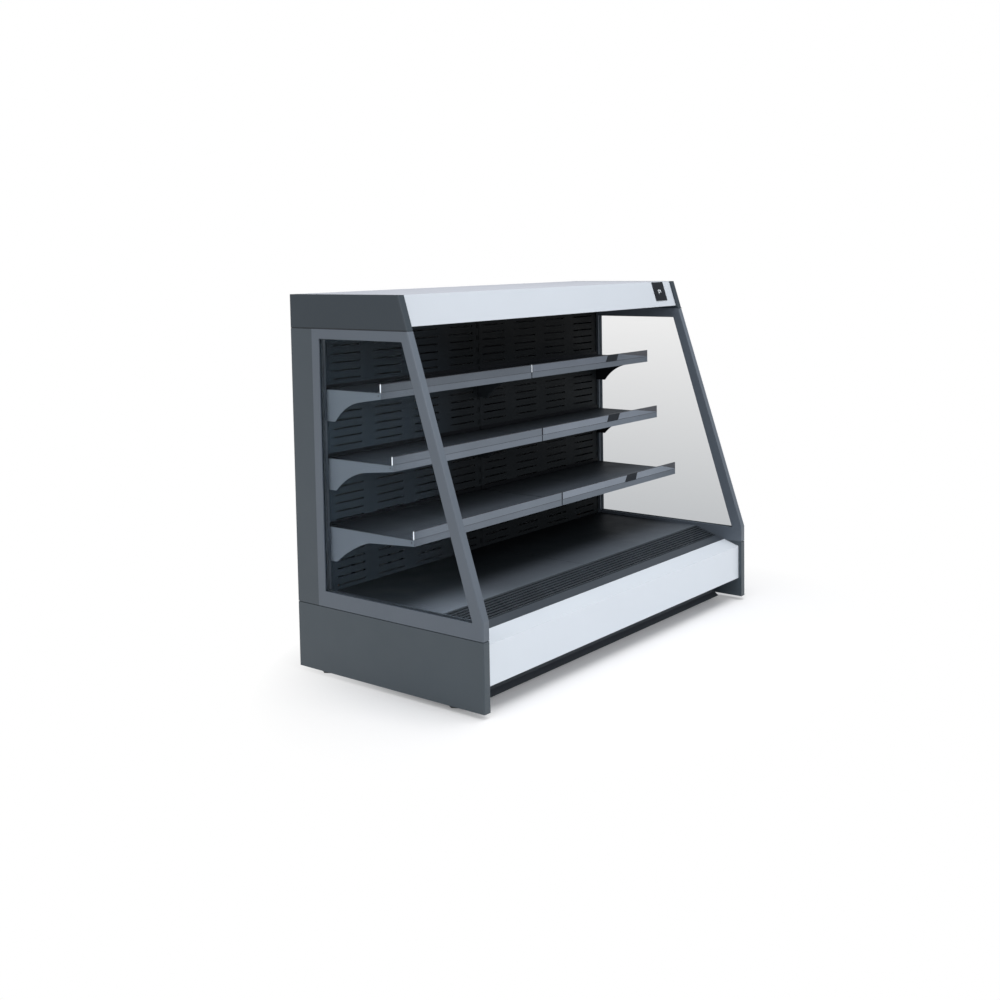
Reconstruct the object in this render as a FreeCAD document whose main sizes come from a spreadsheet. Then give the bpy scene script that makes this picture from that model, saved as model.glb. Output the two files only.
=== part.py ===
import FreeCAD, Part
import Sketcher
import math
import os

# Open multideck display fridge, two bays wide, with its own refrigerating unit in the base.
# Frame: X to the right along the front, Y towards the back, Z up. The origin is on the floor,
# under the middle of the case. Millimetres.
# Depths are measured from the case's back plane towards the front, and heights from the lower
# edge of the side panels: back() and up() turn them into Y and Z.

SIZES = {
    # the whole case
    "case_width": 1875,
    "case_depth": 918,
    "case_height": 1430,
    "floor_gap": 18,
    "side_wall": 32,
    "sheet": 2,
    "seat_gap": 0.3,
    "shadow_gap": 3,
    "shadow_inset": 4,
    "edge_radius": 5,
    # side outline, and the glazed opening in it
    "base_panel_height": 250,
    "knee_rise": 20,
    "canopy_tall": 125,
    "canopy_setback": 322,
    "canopy_slant": 40,
    "pillar_depth": 112,
    "opening_rear_margin": 10,
    "opening_front_margin": 47,
    "opening_top_setback": 27,
    "opening_low_rise": 12,
    "opening_top_margin": 39,
    "glass_thickness": 8,
    "glass_inset": 5,
    "glass_lap": 10,
    "seal_reach": 3,
    "seal_width": 6,
    # back wall of the display space, its slots and its uprights
    "back_foam": 47,
    "back_panel_depth": 140,
    "back_panel_flange": 15,
    "back_panel_overlap": 28,
    "air_slot_width": 150,
    "air_slot_height": 6,
    "air_slot_columns": 4,
    "air_slot_row_pitch": 31.6,
    "air_slot_rise": 16.6,
    "air_slot_top_margin": 25,
    "air_slot_side_margin": 25.55,
    "upright_width": 17,
    "upright_recess": 1,
    "upright_reach": 28,
    "hook_slot_rise": 16.7,
    "hook_slot_top_margin": 50,
    "hook_slot_pitch": 52,
    "hook_slot_height": 22,
    "hook_slot_width": 3.6,
    "hook_end_offset": 5.5,
    "hook_middle_offset": 4.5,
    # shelves
    "upper_shelf_step": 14,
    "middle_shelf_step": 9,
    "lower_shelf_step": 4,
    "upper_shelf_depth": 430,
    "middle_shelf_depth": 480,
    "lower_shelf_depth": 577,
    "tray_above_slot": 30,
    "tray_lip": 24,
    "tray_upstand": 14,
    "tray_rear_play": 3.5,
    "tray_end_play": 4,
    "tray_joint": 6,
    "rail_height": 31,
    "rail_thickness": 5,
    "rail_foot": 12,
    "rail_foot_thickness": 1.5,
    "bracket_thickness": 3,
    "hook_neck": 8,
    "hook_tongue": 9,
    "hook_thickness": 3,
    "upper_tail_drop": 121,
    "middle_tail_drop": 121,
    "lower_tail_drop": 133,
    "upper_tail_tip": 50,
    "middle_tail_tip": 46,
    "lower_tail_tip": 40,
    "upper_bend_place": 186,
    "middle_bend_place": 198,
    "lower_bend_place": 210,
    "upper_tail_radius": 200,
    "middle_tail_radius": 260,
    "lower_tail_radius": 480,
    "bend_drop": 40,
    # deck, intake grille, front rail and front panel
    "deck_height": 300,
    "deck_tall": 13,
    "deck_rear_gap": 2.5,
    "deck_joint": 2,
    "support_width": 20,
    "support_ahead": 7,
    "support_leg_width": 30,
    "support_leg_count": 5,
    "slope_run": 220,
    "slope_drop": 69,
    "panel_recess": 15,
    "grille_gap": 3.5,
    "grille_deep": 100,
    "grille_thickness": 10,
    "grille_blade_depth": 5,
    "grille_slot_count": 7,
    "grille_slot_pitch": 14.4,
    "grille_slot_width": 6.4,
    "grille_cell_count": 6,
    "grille_cell_rib": 10,
    "grille_end_margin": 9,
    "grille_end_play": 1.5,
    "rail_gap": 2.5,
    "rail_deep": 42,
    "rail_skin": 3.2,
    "rail_leg_place": 2.2,
    "rail_leg": 2.5,
    "rail_leg_rise": 9,
    "rail_ledge": 12.2,
    "front_panel_low": 84,
    "front_panel_lip": 28,
    "kick_recess": 10,
    "kick_top": 96,
    "kick_fold": 3,
    "kick_toe_reach": 21,
    "kick_toe_height": -13,
    # insulated tub
    "tub_foam": 30,
    "tub_well_floor": 140,
    "tub_well_depth": 215,
    "tub_floor_rear": 212,
    "tub_floor_front": 222,
    "tub_front_gap": 5,
    "tub_front_wall": 34,
    "drain_radius": 16,
    "drain_wall": 3,
    "drain_above_tray": 8.2,
    "drain_inset": 345.2,
    "drain_depth": 130,
    # base frame and feet
    "frame_bottom": 2,
    "frame_rail": 30,
    "frame_tall": 38,
    "frame_rear_depth": 12,
    "machine_floor": 1.5,
    "back_post_depth": 27,
    "well_post_depth": 150,
    "front_post_setback": 39,
    "foot_rear_depth": 106,
    "foot_front_setback": 33,
    "foot_pad_flat": 20,
    "foot_pad": 8,
    "foot_stem_radius": 5,
    "foot_stem_height": 46,
    "foot_nut_flat": 8.5,
    "foot_nut_height": 6,
    "foot_socket_depth": 32,
    "shaft_play": 0.05,
    # louvred rear panel of the machine space, electrical box and switch
    "louvre_width": 180,
    "louvre_height": 6,
    "louvre_rows": 6,
    "louvre_columns": 5,
    "louvre_row_pitch": 13,
    "louvre_margin": 75.2,
    "louvre_box_gap": 140,
    "louvre_bottom": 18,
    "rear_panel_low": 3,
    "service_margin": 10,
    "box_inset": 305.2,
    "box_width": 200,
    "box_depth": 80,
    "box_recess": 22,
    "box_height": 62,
    "box_window_margin": 5,
    "switch_inset": 40,
    "switch_rise": 33.7,
    "switch_width": 13,
    "switch_tall": 24,
    "switch_recess": 14,
    "switch_pivot": 6,
    "switch_lip": 1,
    "switch_play": 0.3,
    "switch_end_play": 0.9,
    "switch_tilt": 8,
    "switch_pin_radius": 1.5,
    "switch_pin_reach": 2,
    "gland_inset": 150,
    "gland_rise": 29.7,
    "gland_radius": 12,
    "gland_bore": 5,
    "gland_reach": 18,
    # canopy
    "canopy_foam": 37,
    "fascia_top_recess": 8,
    "fascia_low_recess": 12,
    "fascia_rise": 13,
    "fascia_skin": 2.6,
    "fascia_lip": 30,
    "discharge_width": 112,
    "liner_ledge": 8,
    "honeycomb_recess": 21.5,
    "honeycomb_tall": 20,
    "honeycomb_cell": 70,
    "honeycomb_row_cell": 36,
    "honeycomb_wall": 5,
    "honeycomb_rows": 2,
    "lamp_setback": 29,
    "lamp_width": 26,
    "lamp_drop": 20,
    "lamp_radius": 15.6,
    "lamp_margin": 45.2,
    "display_inset": 110.2,
    "display_width": 92,
    "display_margin": 1.5,
    "display_tall": 83.5,
    "display_thickness": 3,
    # evaporator and its fans
    "evaporator_margin": 85.2,
    "evaporator_rise": 30,
    "evaporator_tall": 230,
    "evaporator_deep": 80,
    "evaporator_groove": 22,
    "evaporator_fins": 24,
    "evaporator_web": 11,
    "tube_radius": 6,
    "tube_reach": 18,
    "tube_rows": 4,
    "tube_place": 40,
    "fan_plate_gap": 1,
    "fan_plate_rise": 32,
    "fan_plate_reach": 18,
    "fan_plate_slant": 2.8,
    "fan_flange_gap": 6,
    "fan_place": 450,
    "fan_ring_radius": 66,
    "fan_ring_wall": 2,
    "fan_ring_depth": 30,
    "fan_tip_gap": 2.5,
    "fan_hub_radius": 26,
    "fan_hub_height": 18,
    "fan_motor_radius": 24,
    "fan_motor_height": 12,
    "fan_strut": 4,
    "fan_shaft_radius": 3,
    "fan_blades": 5,
    "blade_thickness": 2,
    "blade_root_reach": 12,
    "blade_tip_reach": 22,
    "blade_root_radius": 22,
    "blade_pitch": 21,
    # compressor, condenser, drip tray and pipes
    "compressor_inset": 705.2,
    "compressor_setback": 309,
    "compressor_height": 88,
    "compressor_radius": 62,
    "compressor_length": 320,
    "compressor_end_length": 22,
    "compressor_end_radius": 50,
    "saddle_place": 90,
    "saddle_thickness": 8,
    "saddle_width": 110,
    "saddle_foot": 12,
    "saddle_foot_length": 40,
    "accumulator_radius": 27,
    "accumulator_length": 170,
    "accumulator_gap": 5,
    "accumulator_strap": 24,
    "terminal_width": 64,
    "terminal_depth": 50,
    "terminal_rise": 20,
    "condenser_inset": 385.2,
    "condenser_width": 340,
    "condenser_setback": 169,
    "condenser_deep": 56,
    "condenser_tall": 160,
    "condenser_groove": 18,
    "condenser_fins": 14,
    "condenser_web": 6,
    "shroud_deep": 26,
    "drip_width": 240,
    "drip_front": 240,
    "drip_rear": 55,
    "drip_tall": 34,
    "pipe_radius": 6,
    "liquid_radius": 4,
    "pipe_bend": 24,
    "riser_inset": 9,
    "pipe_hole_gap": 1,
    "discharge_reach": 48,
    "liquid_low": 40,
}


class Size:
    """A number of the sheet, or a sum made from such numbers, with the text that drives it."""

    def __init__(self, number, text):
        self.number = number
        self.text = text

    def __add__(self, other):
        other = size(other)
        return Size(self.number + other.number, f"({self.text} + {other.text})")

    def __radd__(self, other):
        return size(other) + self

    def __sub__(self, other):
        other = size(other)
        return Size(self.number - other.number, f"({self.text} - {other.text})")

    def __rsub__(self, other):
        return size(other) - self

    def __mul__(self, other):
        other = size(other)
        return Size(self.number * other.number, f"({self.text} * {other.text})")

    def __rmul__(self, other):
        return size(other) * self

    def __truediv__(self, other):
        other = size(other)
        return Size(self.number / other.number, f"({self.text} / {other.text})")

    def __neg__(self):
        return Size(-self.number, f"(-1 * {self.text})")


def size(value):
    """A plain number as a Size."""
    if isinstance(value, Size):
        return value
    return Size(value, f"({value})")


def root(value):
    return Size(math.sqrt(value.number), f"sqrt({value.text})")


def whole(value):
    """The whole number below a value, for counting copies."""
    return Size(math.floor(value.number), f"floor({value.text})")


def slope_angle(rise, run):
    """Degrees from the level of a line that rises by rise over run."""
    angle = math.degrees(math.atan2(rise.number, run.number))
    return Size(angle, f"atan2({rise.text}; {run.text})")


FULL_TURN = 360
QUARTER_TURN = 90
# points closer than this count as one
SAME_PLACE = 0.01
# the refrigerant lines: flat sides round each bar, and chords laid round each bend
TUBE_SIDES = 12
BEND_CHORDS = 3

doc = FreeCAD.newDocument("display_fridge")
sheet_page = doc.addObject("Spreadsheet::Sheet", "sizes")
for row, (word, number) in enumerate(SIZES.items(), start=1):
    sheet_page.set(f"A{row}", word)
    sheet_page.set(f"B{row}", str(number))
    sheet_page.setAlias(f"B{row}", word)
doc.recompute()


class Sizes:
    """The sheet's sizes by name: s.case_width and so on."""

    def __getattr__(self, word):
        return Size(SIZES[word], f"sizes.{word}")


s = Sizes()
parts = []

half_width = s.case_width / 2
inner = half_width - s.side_wall
fitted = inner - s.seat_gap

# heights
canopy_low_height = s.case_height - s.canopy_tall
side_low = s.base_panel_height + s.shadow_gap
side_top = canopy_low_height - s.shadow_gap
knee_height = s.deck_height + s.knee_rise
opening_low_height = s.deck_height + s.opening_low_rise
opening_top_height = canopy_low_height - s.opening_top_margin
back_panel_top = canopy_low_height + s.back_panel_overlap
fascia_low_height = canopy_low_height + s.fascia_rise
honeycomb_top = fascia_low_height + s.honeycomb_tall
display_top = s.case_height - s.display_margin
display_low = display_top - s.display_tall
support_height = s.deck_height - s.deck_tall
slope_low_height = s.deck_height - s.slope_drop
rail_leg_low = slope_low_height + s.rail_leg_rise
evaporator_low = s.deck_height + s.evaporator_rise
fan_plate_low_height = s.tub_well_floor + s.fan_plate_rise
floor_height = s.frame_bottom + s.machine_floor + s.seat_gap
drain_low = floor_height + s.drip_tall + s.drain_above_tray
box_bottom = s.frame_bottom + s.frame_tall + s.seat_gap
switch_height = box_bottom + s.switch_rise
gland_height = box_bottom + s.gland_rise

# depths, from the canopy's and the deck's front edges back
canopy_low_depth = s.case_depth - s.canopy_setback
canopy_top_depth = canopy_low_depth - s.canopy_slant
fascia_low_depth = canopy_low_depth - s.fascia_low_recess
fascia_top_depth = canopy_top_depth - s.fascia_top_recess
liner_front_depth = fascia_low_depth - s.discharge_width
honeycomb_front = fascia_low_depth - s.honeycomb_recess
lamp_depth = liner_front_depth - s.lamp_setback
opening_rear_depth = s.back_panel_depth + s.opening_rear_margin
opening_low_depth = s.case_depth - s.opening_front_margin
opening_top_depth = canopy_low_depth - s.opening_top_setback
slope_low_depth = s.case_depth - s.panel_recess
deck_front_depth = slope_low_depth - s.slope_run
deck_rear_depth = s.back_panel_depth + s.deck_rear_gap
grille_rear_depth = deck_front_depth + s.grille_gap
grille_front_depth = grille_rear_depth + s.grille_deep
rail_rear_depth = grille_front_depth + s.rail_gap
rail_front_depth = rail_rear_depth + s.rail_deep
rail_leg_depth = rail_rear_depth + s.rail_leg_place
rail_ledge_depth = rail_leg_depth - s.rail_ledge
tub_front_inner = rail_rear_depth + s.tub_front_gap
kick_depth = rail_rear_depth - s.kick_recess
kick_toe_depth = kick_depth + s.kick_toe_reach
front_post_depth = kick_depth - s.front_post_setback
foot_front_depth = kick_depth - s.foot_front_setback
compressor_depth = kick_depth - s.compressor_setback
condenser_depth = kick_depth - s.condenser_setback
fan_plate_low_depth = s.back_foam + s.fan_plate_gap
fan_plate_top_depth = s.back_panel_depth + s.fan_plate_reach
fan_flange_depth = s.back_panel_depth - s.fan_flange_gap

# places and lengths along the case, from its fitted ends inwards
box_left = fitted - s.box_inset
switch_place = box_left + s.switch_inset
gland_place = box_left + s.gland_inset
louvre_first_place = s.louvre_margin - fitted
louvre_reach = box_left - s.louvre_box_gap - louvre_first_place - s.louvre_width
louvre_column_pitch = louvre_reach / (s.louvre_columns - 1)
drain_place = s.drain_inset - fitted
drip_left = drain_place - s.drip_width / 2
compressor_place = fitted - s.compressor_inset
condenser_left = s.condenser_inset - fitted
display_place = fitted - s.display_inset
lamp_length = (fitted - s.lamp_margin) * 2
evaporator_length = (fitted - s.evaporator_margin) * 2

# slots and cells that fill the space there is
panel_width = fitted - s.upright_width - s.upright_width / 2 - s.seat_gap * 2
air_slot_reach = panel_width - s.air_slot_width - s.air_slot_side_margin * 2
air_slot_column_pitch = air_slot_reach / (s.air_slot_columns - 1)
air_slot_first = s.deck_height + s.air_slot_rise
air_slot_room = back_panel_top - s.air_slot_top_margin - air_slot_first
air_slot_rows = whole(air_slot_room / s.air_slot_row_pitch) + 1
hook_slot_first = s.deck_height + s.hook_slot_rise
hook_slot_room = back_panel_top - s.hook_slot_top_margin - hook_slot_first
hook_slot_count = whole(hook_slot_room / s.hook_slot_pitch) + 1
honeycomb_pitch = s.honeycomb_cell + s.honeycomb_wall
honeycomb_columns = whole((fitted * 2 - s.honeycomb_wall) / honeycomb_pitch)

# fasteners, feet and pipes
foot_place = fitted - s.frame_rail / 2
riser_place = evaporator_length / 2 - s.riser_inset
riser_depth = s.back_foam + s.seat_gap + s.tube_place


def back(depth):
    return s.case_depth / 2 - depth


def up(height):
    return s.floor_gap + height


def slant_depth(height):
    """Depth of the side frame's slanted front edge at a height."""
    run = s.case_depth - canopy_low_depth
    return s.case_depth - (height - knee_height) * run / (canopy_low_height - knee_height)


def slope_height(depth):
    """Height of the sloping front of the deck, over grille, rail and front panel, at a depth."""
    fall = s.deck_height - slope_low_height
    return s.deck_height - (depth - deck_front_depth) * fall / (slope_low_depth - deck_front_depth)


def tub_floor_height(depth):
    """Height of the tub's floor in front of its well, at a depth."""
    rise = s.tub_floor_front - s.tub_floor_rear
    return s.tub_floor_rear + (depth - s.tub_well_depth) * rise / (tub_front_inner - s.tub_well_depth)


def fascia_depth(height):
    """Depth of the fascia's face at a height."""
    run = fascia_low_depth - fascia_top_depth
    return fascia_top_depth + (s.case_height - height) * run / (s.case_height - fascia_low_height)


# ---------------------------------------------------------------- drawing and making features


class Arc:
    """A corner of an outline that is reached along an arc, turning left (1) or right (-1)."""

    def __init__(self, u, v, radius, turn):
        self.u = u
        self.v = v
        self.radius = radius
        self.turn = turn


def side_view(*corners):
    """An outline given by depths and heights, as Y and Z."""
    found = []
    for corner in corners:
        if isinstance(corner, Arc):
            found.append(Arc(back(corner.u), up(corner.v), corner.radius, -corner.turn))
        else:
            found.append((back(corner[0]), up(corner[1])))
    return found


def rectangle(u_low, v_low, u_high, v_high):
    return [(u_low, v_low), (u_high, v_low), (u_high, v_high), (u_low, v_high)]


def ends_of(corner):
    if isinstance(corner, Arc):
        return size(corner.u), size(corner.v)
    return size(corner[0]), size(corner[1])


def bind(thing, field, value):
    thing.setExpression(field, size(value).text)


def role_of(body, role):
    return [feature for feature in body.Origin.OriginFeatures if feature.Role == role][0]


def fix_point(sketch, edge, end, place):
    for kind, value in zip(("DistanceX", "DistanceY"), place):
        number = sketch.addConstraint(Sketcher.Constraint(kind, -1, 1, edge, end, value.number))
        bind(sketch, f"Constraints[{number}]", value)


def arc_between(start, finish, radius, turn):
    """The arc's geometry, which always runs leftwards, and which of its ends comes first."""
    x0, y0 = start
    x1, y1 = finish
    chord = math.hypot(x1 - x0, y1 - y0)
    rise = math.sqrt(radius * radius - chord * chord / 4)
    x_mid, y_mid = (x0 + x1) / 2, (y0 + y1) / 2
    x_left, y_left = -(y1 - y0) / chord, (x1 - x0) / chord
    centre = FreeCAD.Vector(x_mid + turn * rise * x_left, y_mid + turn * rise * y_left, 0)
    angles = [math.atan2(y - centre.y, x - centre.x) for x, y in (start, finish)]
    if turn < 0:
        angles.reverse()
    if angles[1] < angles[0]:
        angles[1] += 2 * math.pi
    circle = Part.Circle(centre, FreeCAD.Vector(0, 0, 1), radius)
    return Part.ArcOfCircle(circle, angles[0], angles[1]), (1, 2) if turn > 0 else (2, 1)


def hexagon(flat):
    """A hexagon about the origin, from half its width across flats."""
    corner = flat / math.cos(math.pi / 6)
    return [(corner * math.cos(math.pi / 3 * k), corner * math.sin(math.pi / 3 * k)) for k in range(6)]


def draw(sketch, loop):
    """Adds a closed outline whose corners and radii follow their sizes."""
    edges = []
    for order, corner in enumerate(loop):
        start = [value.number for value in ends_of(loop[order - 1])]
        finish = [value.number for value in ends_of(corner)]
        if isinstance(corner, Arc):
            radius = size(corner.radius)
            shape, (first, last) = arc_between(start, finish, radius.number, corner.turn)
            edge = sketch.addGeometry(shape, False)
            number = sketch.addConstraint(Sketcher.Constraint("Radius", edge, radius.number))
            bind(sketch, f"Constraints[{number}]", radius)
        else:
            line = Part.LineSegment(FreeCAD.Vector(*start, 0), FreeCAD.Vector(*finish, 0))
            edge = sketch.addGeometry(line, False)
            first, last = 1, 2
        edges.append((edge, first, last))
    for order, (edge, first, last) in enumerate(edges):
        after, after_first, _ = edges[(order + 1) % len(edges)]
        sketch.addConstraint(Sketcher.Constraint("Coincident", edge, last, after, after_first))
        fix_point(sketch, edge, last, ends_of(loop[order]))


def draw_circle(sketch, centre, radius):
    u, v = size(centre[0]), size(centre[1])
    radius = size(radius)
    middle = FreeCAD.Vector(u.number, v.number, 0)
    edge = sketch.addGeometry(Part.Circle(middle, FreeCAD.Vector(0, 0, 1), radius.number), False)
    fix_point(sketch, edge, 3, (u, v))
    number = sketch.addConstraint(Sketcher.Constraint("Radius", edge, radius.number))
    bind(sketch, f"Constraints[{number}]", radius)


def new_body(label):
    body = doc.addObject("PartDesign::Body", label)
    body.Label = label
    parts.append(body)
    return body


def new_sketch(body, plane, loops, offset, tilt=None, shift=None):
    """A sketch on one of the body's own planes, moved along its normal by offset.

    Circles are (centre, radius) pairs and outlines are lists of corners. tilt turns an XY
    sketch about X by an angle, and shift is then where its origin lies, as (y, z).
    """
    sketch = body.newObject("Sketcher::SketchObject", body.Label + "_sketch")
    sketch.AttachmentSupport = [(role_of(body, plane + "_Plane"), "")]
    sketch.MapMode = "FlatFace"
    if tilt is None:
        bind(sketch, "AttachmentOffset.Base.z", offset)
    else:
        turned = FreeCAD.Rotation(FreeCAD.Vector(1, 0, 0), tilt.number)
        sketch.AttachmentOffset = FreeCAD.Placement(FreeCAD.Vector(), turned)
        bind(sketch, "AttachmentOffset.Rotation.Angle", tilt)
        cosine = Size(math.cos(math.radians(tilt.number)), f"cos({tilt.text})")
        sine = Size(math.sin(math.radians(tilt.number)), f"sin({tilt.text})")
        bind(sketch, "AttachmentOffset.Base.y", shift[0] - offset * sine)
        bind(sketch, "AttachmentOffset.Base.z", shift[1] + offset * cosine)
    for loop in loops:
        if isinstance(loop, tuple):
            draw_circle(sketch, loop[0], loop[1])
        else:
            draw(sketch, loop)
    return sketch


# Where a sketch lies for a prism from low to high along the plane's normal, and its far side.
# The XZ plane's normal points to -Y.
def plane_offset(plane, low, high):
    return -high if plane == "XZ" else low


def cut_offset(plane, low, high):
    return -low if plane == "XZ" else high


def add(body, plane, loops, low, high):
    """Adds the prism of the outlines between two places on the third axis."""
    sketch = new_sketch(body, plane, loops, plane_offset(plane, low, high))
    pad = body.newObject("PartDesign::Pad", body.Label + "_pad")
    pad.Profile = sketch
    bind(pad, "Length", high - low)
    return pad


def cut(body, plane, loops, low, high):
    """Cuts the prism of the outlines between two places on the third axis."""
    sketch = new_sketch(body, plane, loops, cut_offset(plane, low, high))
    pocket = body.newObject("PartDesign::Pocket", body.Label + "_pocket")
    pocket.Profile = sketch
    bind(pocket, "Length", high - low)
    return pocket


def add_tilted(body, loops, low, high, tilt, shift):
    sketch = new_sketch(body, "XY", loops, low, tilt, shift)
    pad = body.newObject("PartDesign::Pad", body.Label + "_pad")
    pad.Profile = sketch
    bind(pad, "Length", high - low)
    return pad


def cut_tilted(body, loops, low, high, tilt, shift):
    sketch = new_sketch(body, "XY", loops, high, tilt, shift)
    pocket = body.newObject("PartDesign::Pocket", body.Label + "_pocket")
    pocket.Profile = sketch
    bind(pocket, "Length", high - low)
    return pocket


def turn(body, loop, plane, axis):
    """A body of revolution about an axis of its own sketch."""
    sketch = new_sketch(body, plane, [loop], size(0))
    feature = body.newObject("PartDesign::Revolution", body.Label + "_revolution")
    feature.Profile = sketch
    feature.ReferenceAxis = (sketch, [axis])
    feature.Angle = FULL_TURN
    return feature


def repeat(body, feature, *steps):
    """Repeats a feature along axes: each step is (axis, pitch, count)."""
    grid = body.newObject("PartDesign::MultiTransform", body.Label + "_grid")
    grid.Originals = [feature]
    patterns = []
    for axis, pitch, count in steps:
        row = body.newObject("PartDesign::LinearPattern", body.Label + "_row")
        row.Direction = (role_of(body, axis + "_Axis"), [""])
        bind(row, "Length", pitch * (count - 1))
        row.Occurrences = int(count.number)
        bind(row, "Occurrences", count)
        patterns.append(row)
    grid.Transformations = patterns
    body.Tip = grid
    return grid


def repeat_round(body, feature, count):
    ring = body.newObject("PartDesign::PolarPattern", body.Label + "_ring")
    ring.Originals = [feature]
    ring.Axis = (role_of(body, "Z_Axis"), [""])
    ring.Angle = FULL_TURN
    ring.Occurrences = int(count.number)
    bind(ring, "Occurrences", count)
    body.Tip = ring
    return ring


def place(body, x, y, z, axis=None, angle=None):
    """Moves a body that was drawn about its own origin, and turns it about an axis."""
    if axis is not None:
        angle = size(angle)
        body.Placement.Rotation = FreeCAD.Rotation(FreeCAD.Vector(*axis), angle.number)
        for letter, part_of_axis in zip("xyz", axis):
            bind(body, "Placement.Rotation.Axis." + letter, part_of_axis)
        bind(body, "Placement.Rotation.Angle", angle)
    bind(body, "Placement.Base.x", x)
    bind(body, "Placement.Base.y", y)
    bind(body, "Placement.Base.z", z)


def round_edges(body, feature, radius, wanted):
    """Rounds the straight edges of a feature whose two ends both satisfy wanted(point)."""
    doc.recompute()
    names = []
    for order, edge in enumerate(feature.Shape.Edges, start=1):
        if all(wanted(vertex.Point) for vertex in edge.Vertexes) and len(edge.Vertexes) == 2:
            names.append(f"Edge{order}")
    fillet = body.newObject("PartDesign::Fillet", body.Label + "_round")
    fillet.Base = (feature, names)
    bind(fillet, "Radius", radius)
    return fillet


def span(side, near, far):
    """The two X places between near and far of the middle, on the left (-1) or right (1)."""
    if side > 0:
        return near, far
    return -far, -near


SIDES = {"left": -1, "right": 1}


# ---------------------------------------------------------------- sides


def front_edge_test(side, depth_now):
    """Says whether a point lies on a side panel's outer front edge."""
    outer = side * half_width.number

    def wanted(point):
        depth = s.case_depth.number / 2 - point.y
        height = point.z - s.floor_gap.number
        return abs(point.x - outer) < SAME_PLACE and abs(depth - depth_now(height)) < SAME_PLACE

    return wanted


def make_base_panel(name, side):
    body = new_body("base_panel_" + name)
    near, far = span(side, inner, half_width)
    skin = side_view((0, 0), (s.case_depth, 0), (s.case_depth, s.base_panel_height),
                     (0, s.base_panel_height))
    panel = add(body, "YZ", [skin], near, far)
    round_edges(body, panel, s.edge_radius, front_edge_test(side, lambda height: s.case_depth.number))
    # a tongue carries the side frame and leaves a shadow line round the outside
    near, far = span(side, inner, half_width - s.shadow_inset)
    front = s.case_depth - s.shadow_inset
    high = side_low - s.seat_gap
    tongue = side_view((0, s.base_panel_height), (front, s.base_panel_height), (front, high), (0, high))
    add(body, "YZ", [tongue], near, far)


def opening_loop(grow):
    """The glazed opening's outline, made larger by grow on every side."""
    run = opening_low_depth - opening_top_depth
    slope = run / (opening_top_height - opening_low_height)
    out = grow * root(slope * slope + 1)
    low = opening_low_height - grow
    high = opening_top_height + grow
    rear = opening_rear_depth - grow
    return side_view((rear, low), (opening_low_depth + out + slope * grow, low),
                     (opening_top_depth + out - slope * grow, high), (rear, high))


def make_side_frame(name, side):
    body = new_body("side_frame_" + name)
    near, far = span(side, inner, half_width)
    rear = s.pillar_depth + s.seat_gap
    skin = side_view((rear, side_low), (s.case_depth, side_low), (s.case_depth, knee_height),
                     (slant_depth(side_top), side_top), (rear, side_top))
    panel = add(body, "YZ", [skin, opening_loop(size(0))], near, far)

    def front(height):
        if height <= knee_height.number:
            return s.case_depth.number
        return slant_depth(size(height)).number

    round_edges(body, panel, s.edge_radius, front_edge_test(side, front))
    near, far = span(side, inner, half_width - s.shadow_inset)
    high = canopy_low_height - s.seat_gap
    tongue = side_view((rear, side_top), (slant_depth(side_top) - s.shadow_inset, side_top),
                       (slant_depth(high) - s.shadow_inset, high), (rear, high))
    add(body, "YZ", [tongue], near, far)
    # groove that holds the pane
    pane_far = half_width - s.glass_inset + s.seat_gap
    pane_near = half_width - s.glass_inset - s.glass_thickness - s.seat_gap
    cut(body, "YZ", [opening_loop(s.glass_lap)], *span(side, pane_near, pane_far))


def make_side_glass(name, side):
    body = new_body("side_glass_" + name)
    far = half_width - s.glass_inset
    near = far - s.glass_thickness
    add(body, "YZ", [opening_loop(s.glass_lap - s.seat_gap)], *span(side, near, far))


def make_glass_seals():
    body = new_body("glass_seals")
    for side in SIDES.values():
        far = half_width - s.glass_inset - s.glass_thickness - s.seat_gap
        ring = [opening_loop(-s.seat_gap), opening_loop(-s.seal_reach)]
        add(body, "YZ", ring, *span(side, far - s.seal_width, far))


def make_rear_pillar(name, side):
    body = new_body("rear_pillar_" + name)
    near, far = span(side, inner, half_width)
    add(body, "YZ", [side_view((0, side_low), (s.pillar_depth, side_low),
                               (s.pillar_depth, side_top), (0, side_top))], near, far)
    near, far = span(side, inner, half_width - s.shadow_inset)
    high = canopy_low_height - s.seat_gap
    add(body, "YZ", [side_view((0, side_top), (s.pillar_depth, side_top),
                               (s.pillar_depth, high), (0, high))], near, far)


# ---------------------------------------------------------------- base: frame, tub, front


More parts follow.
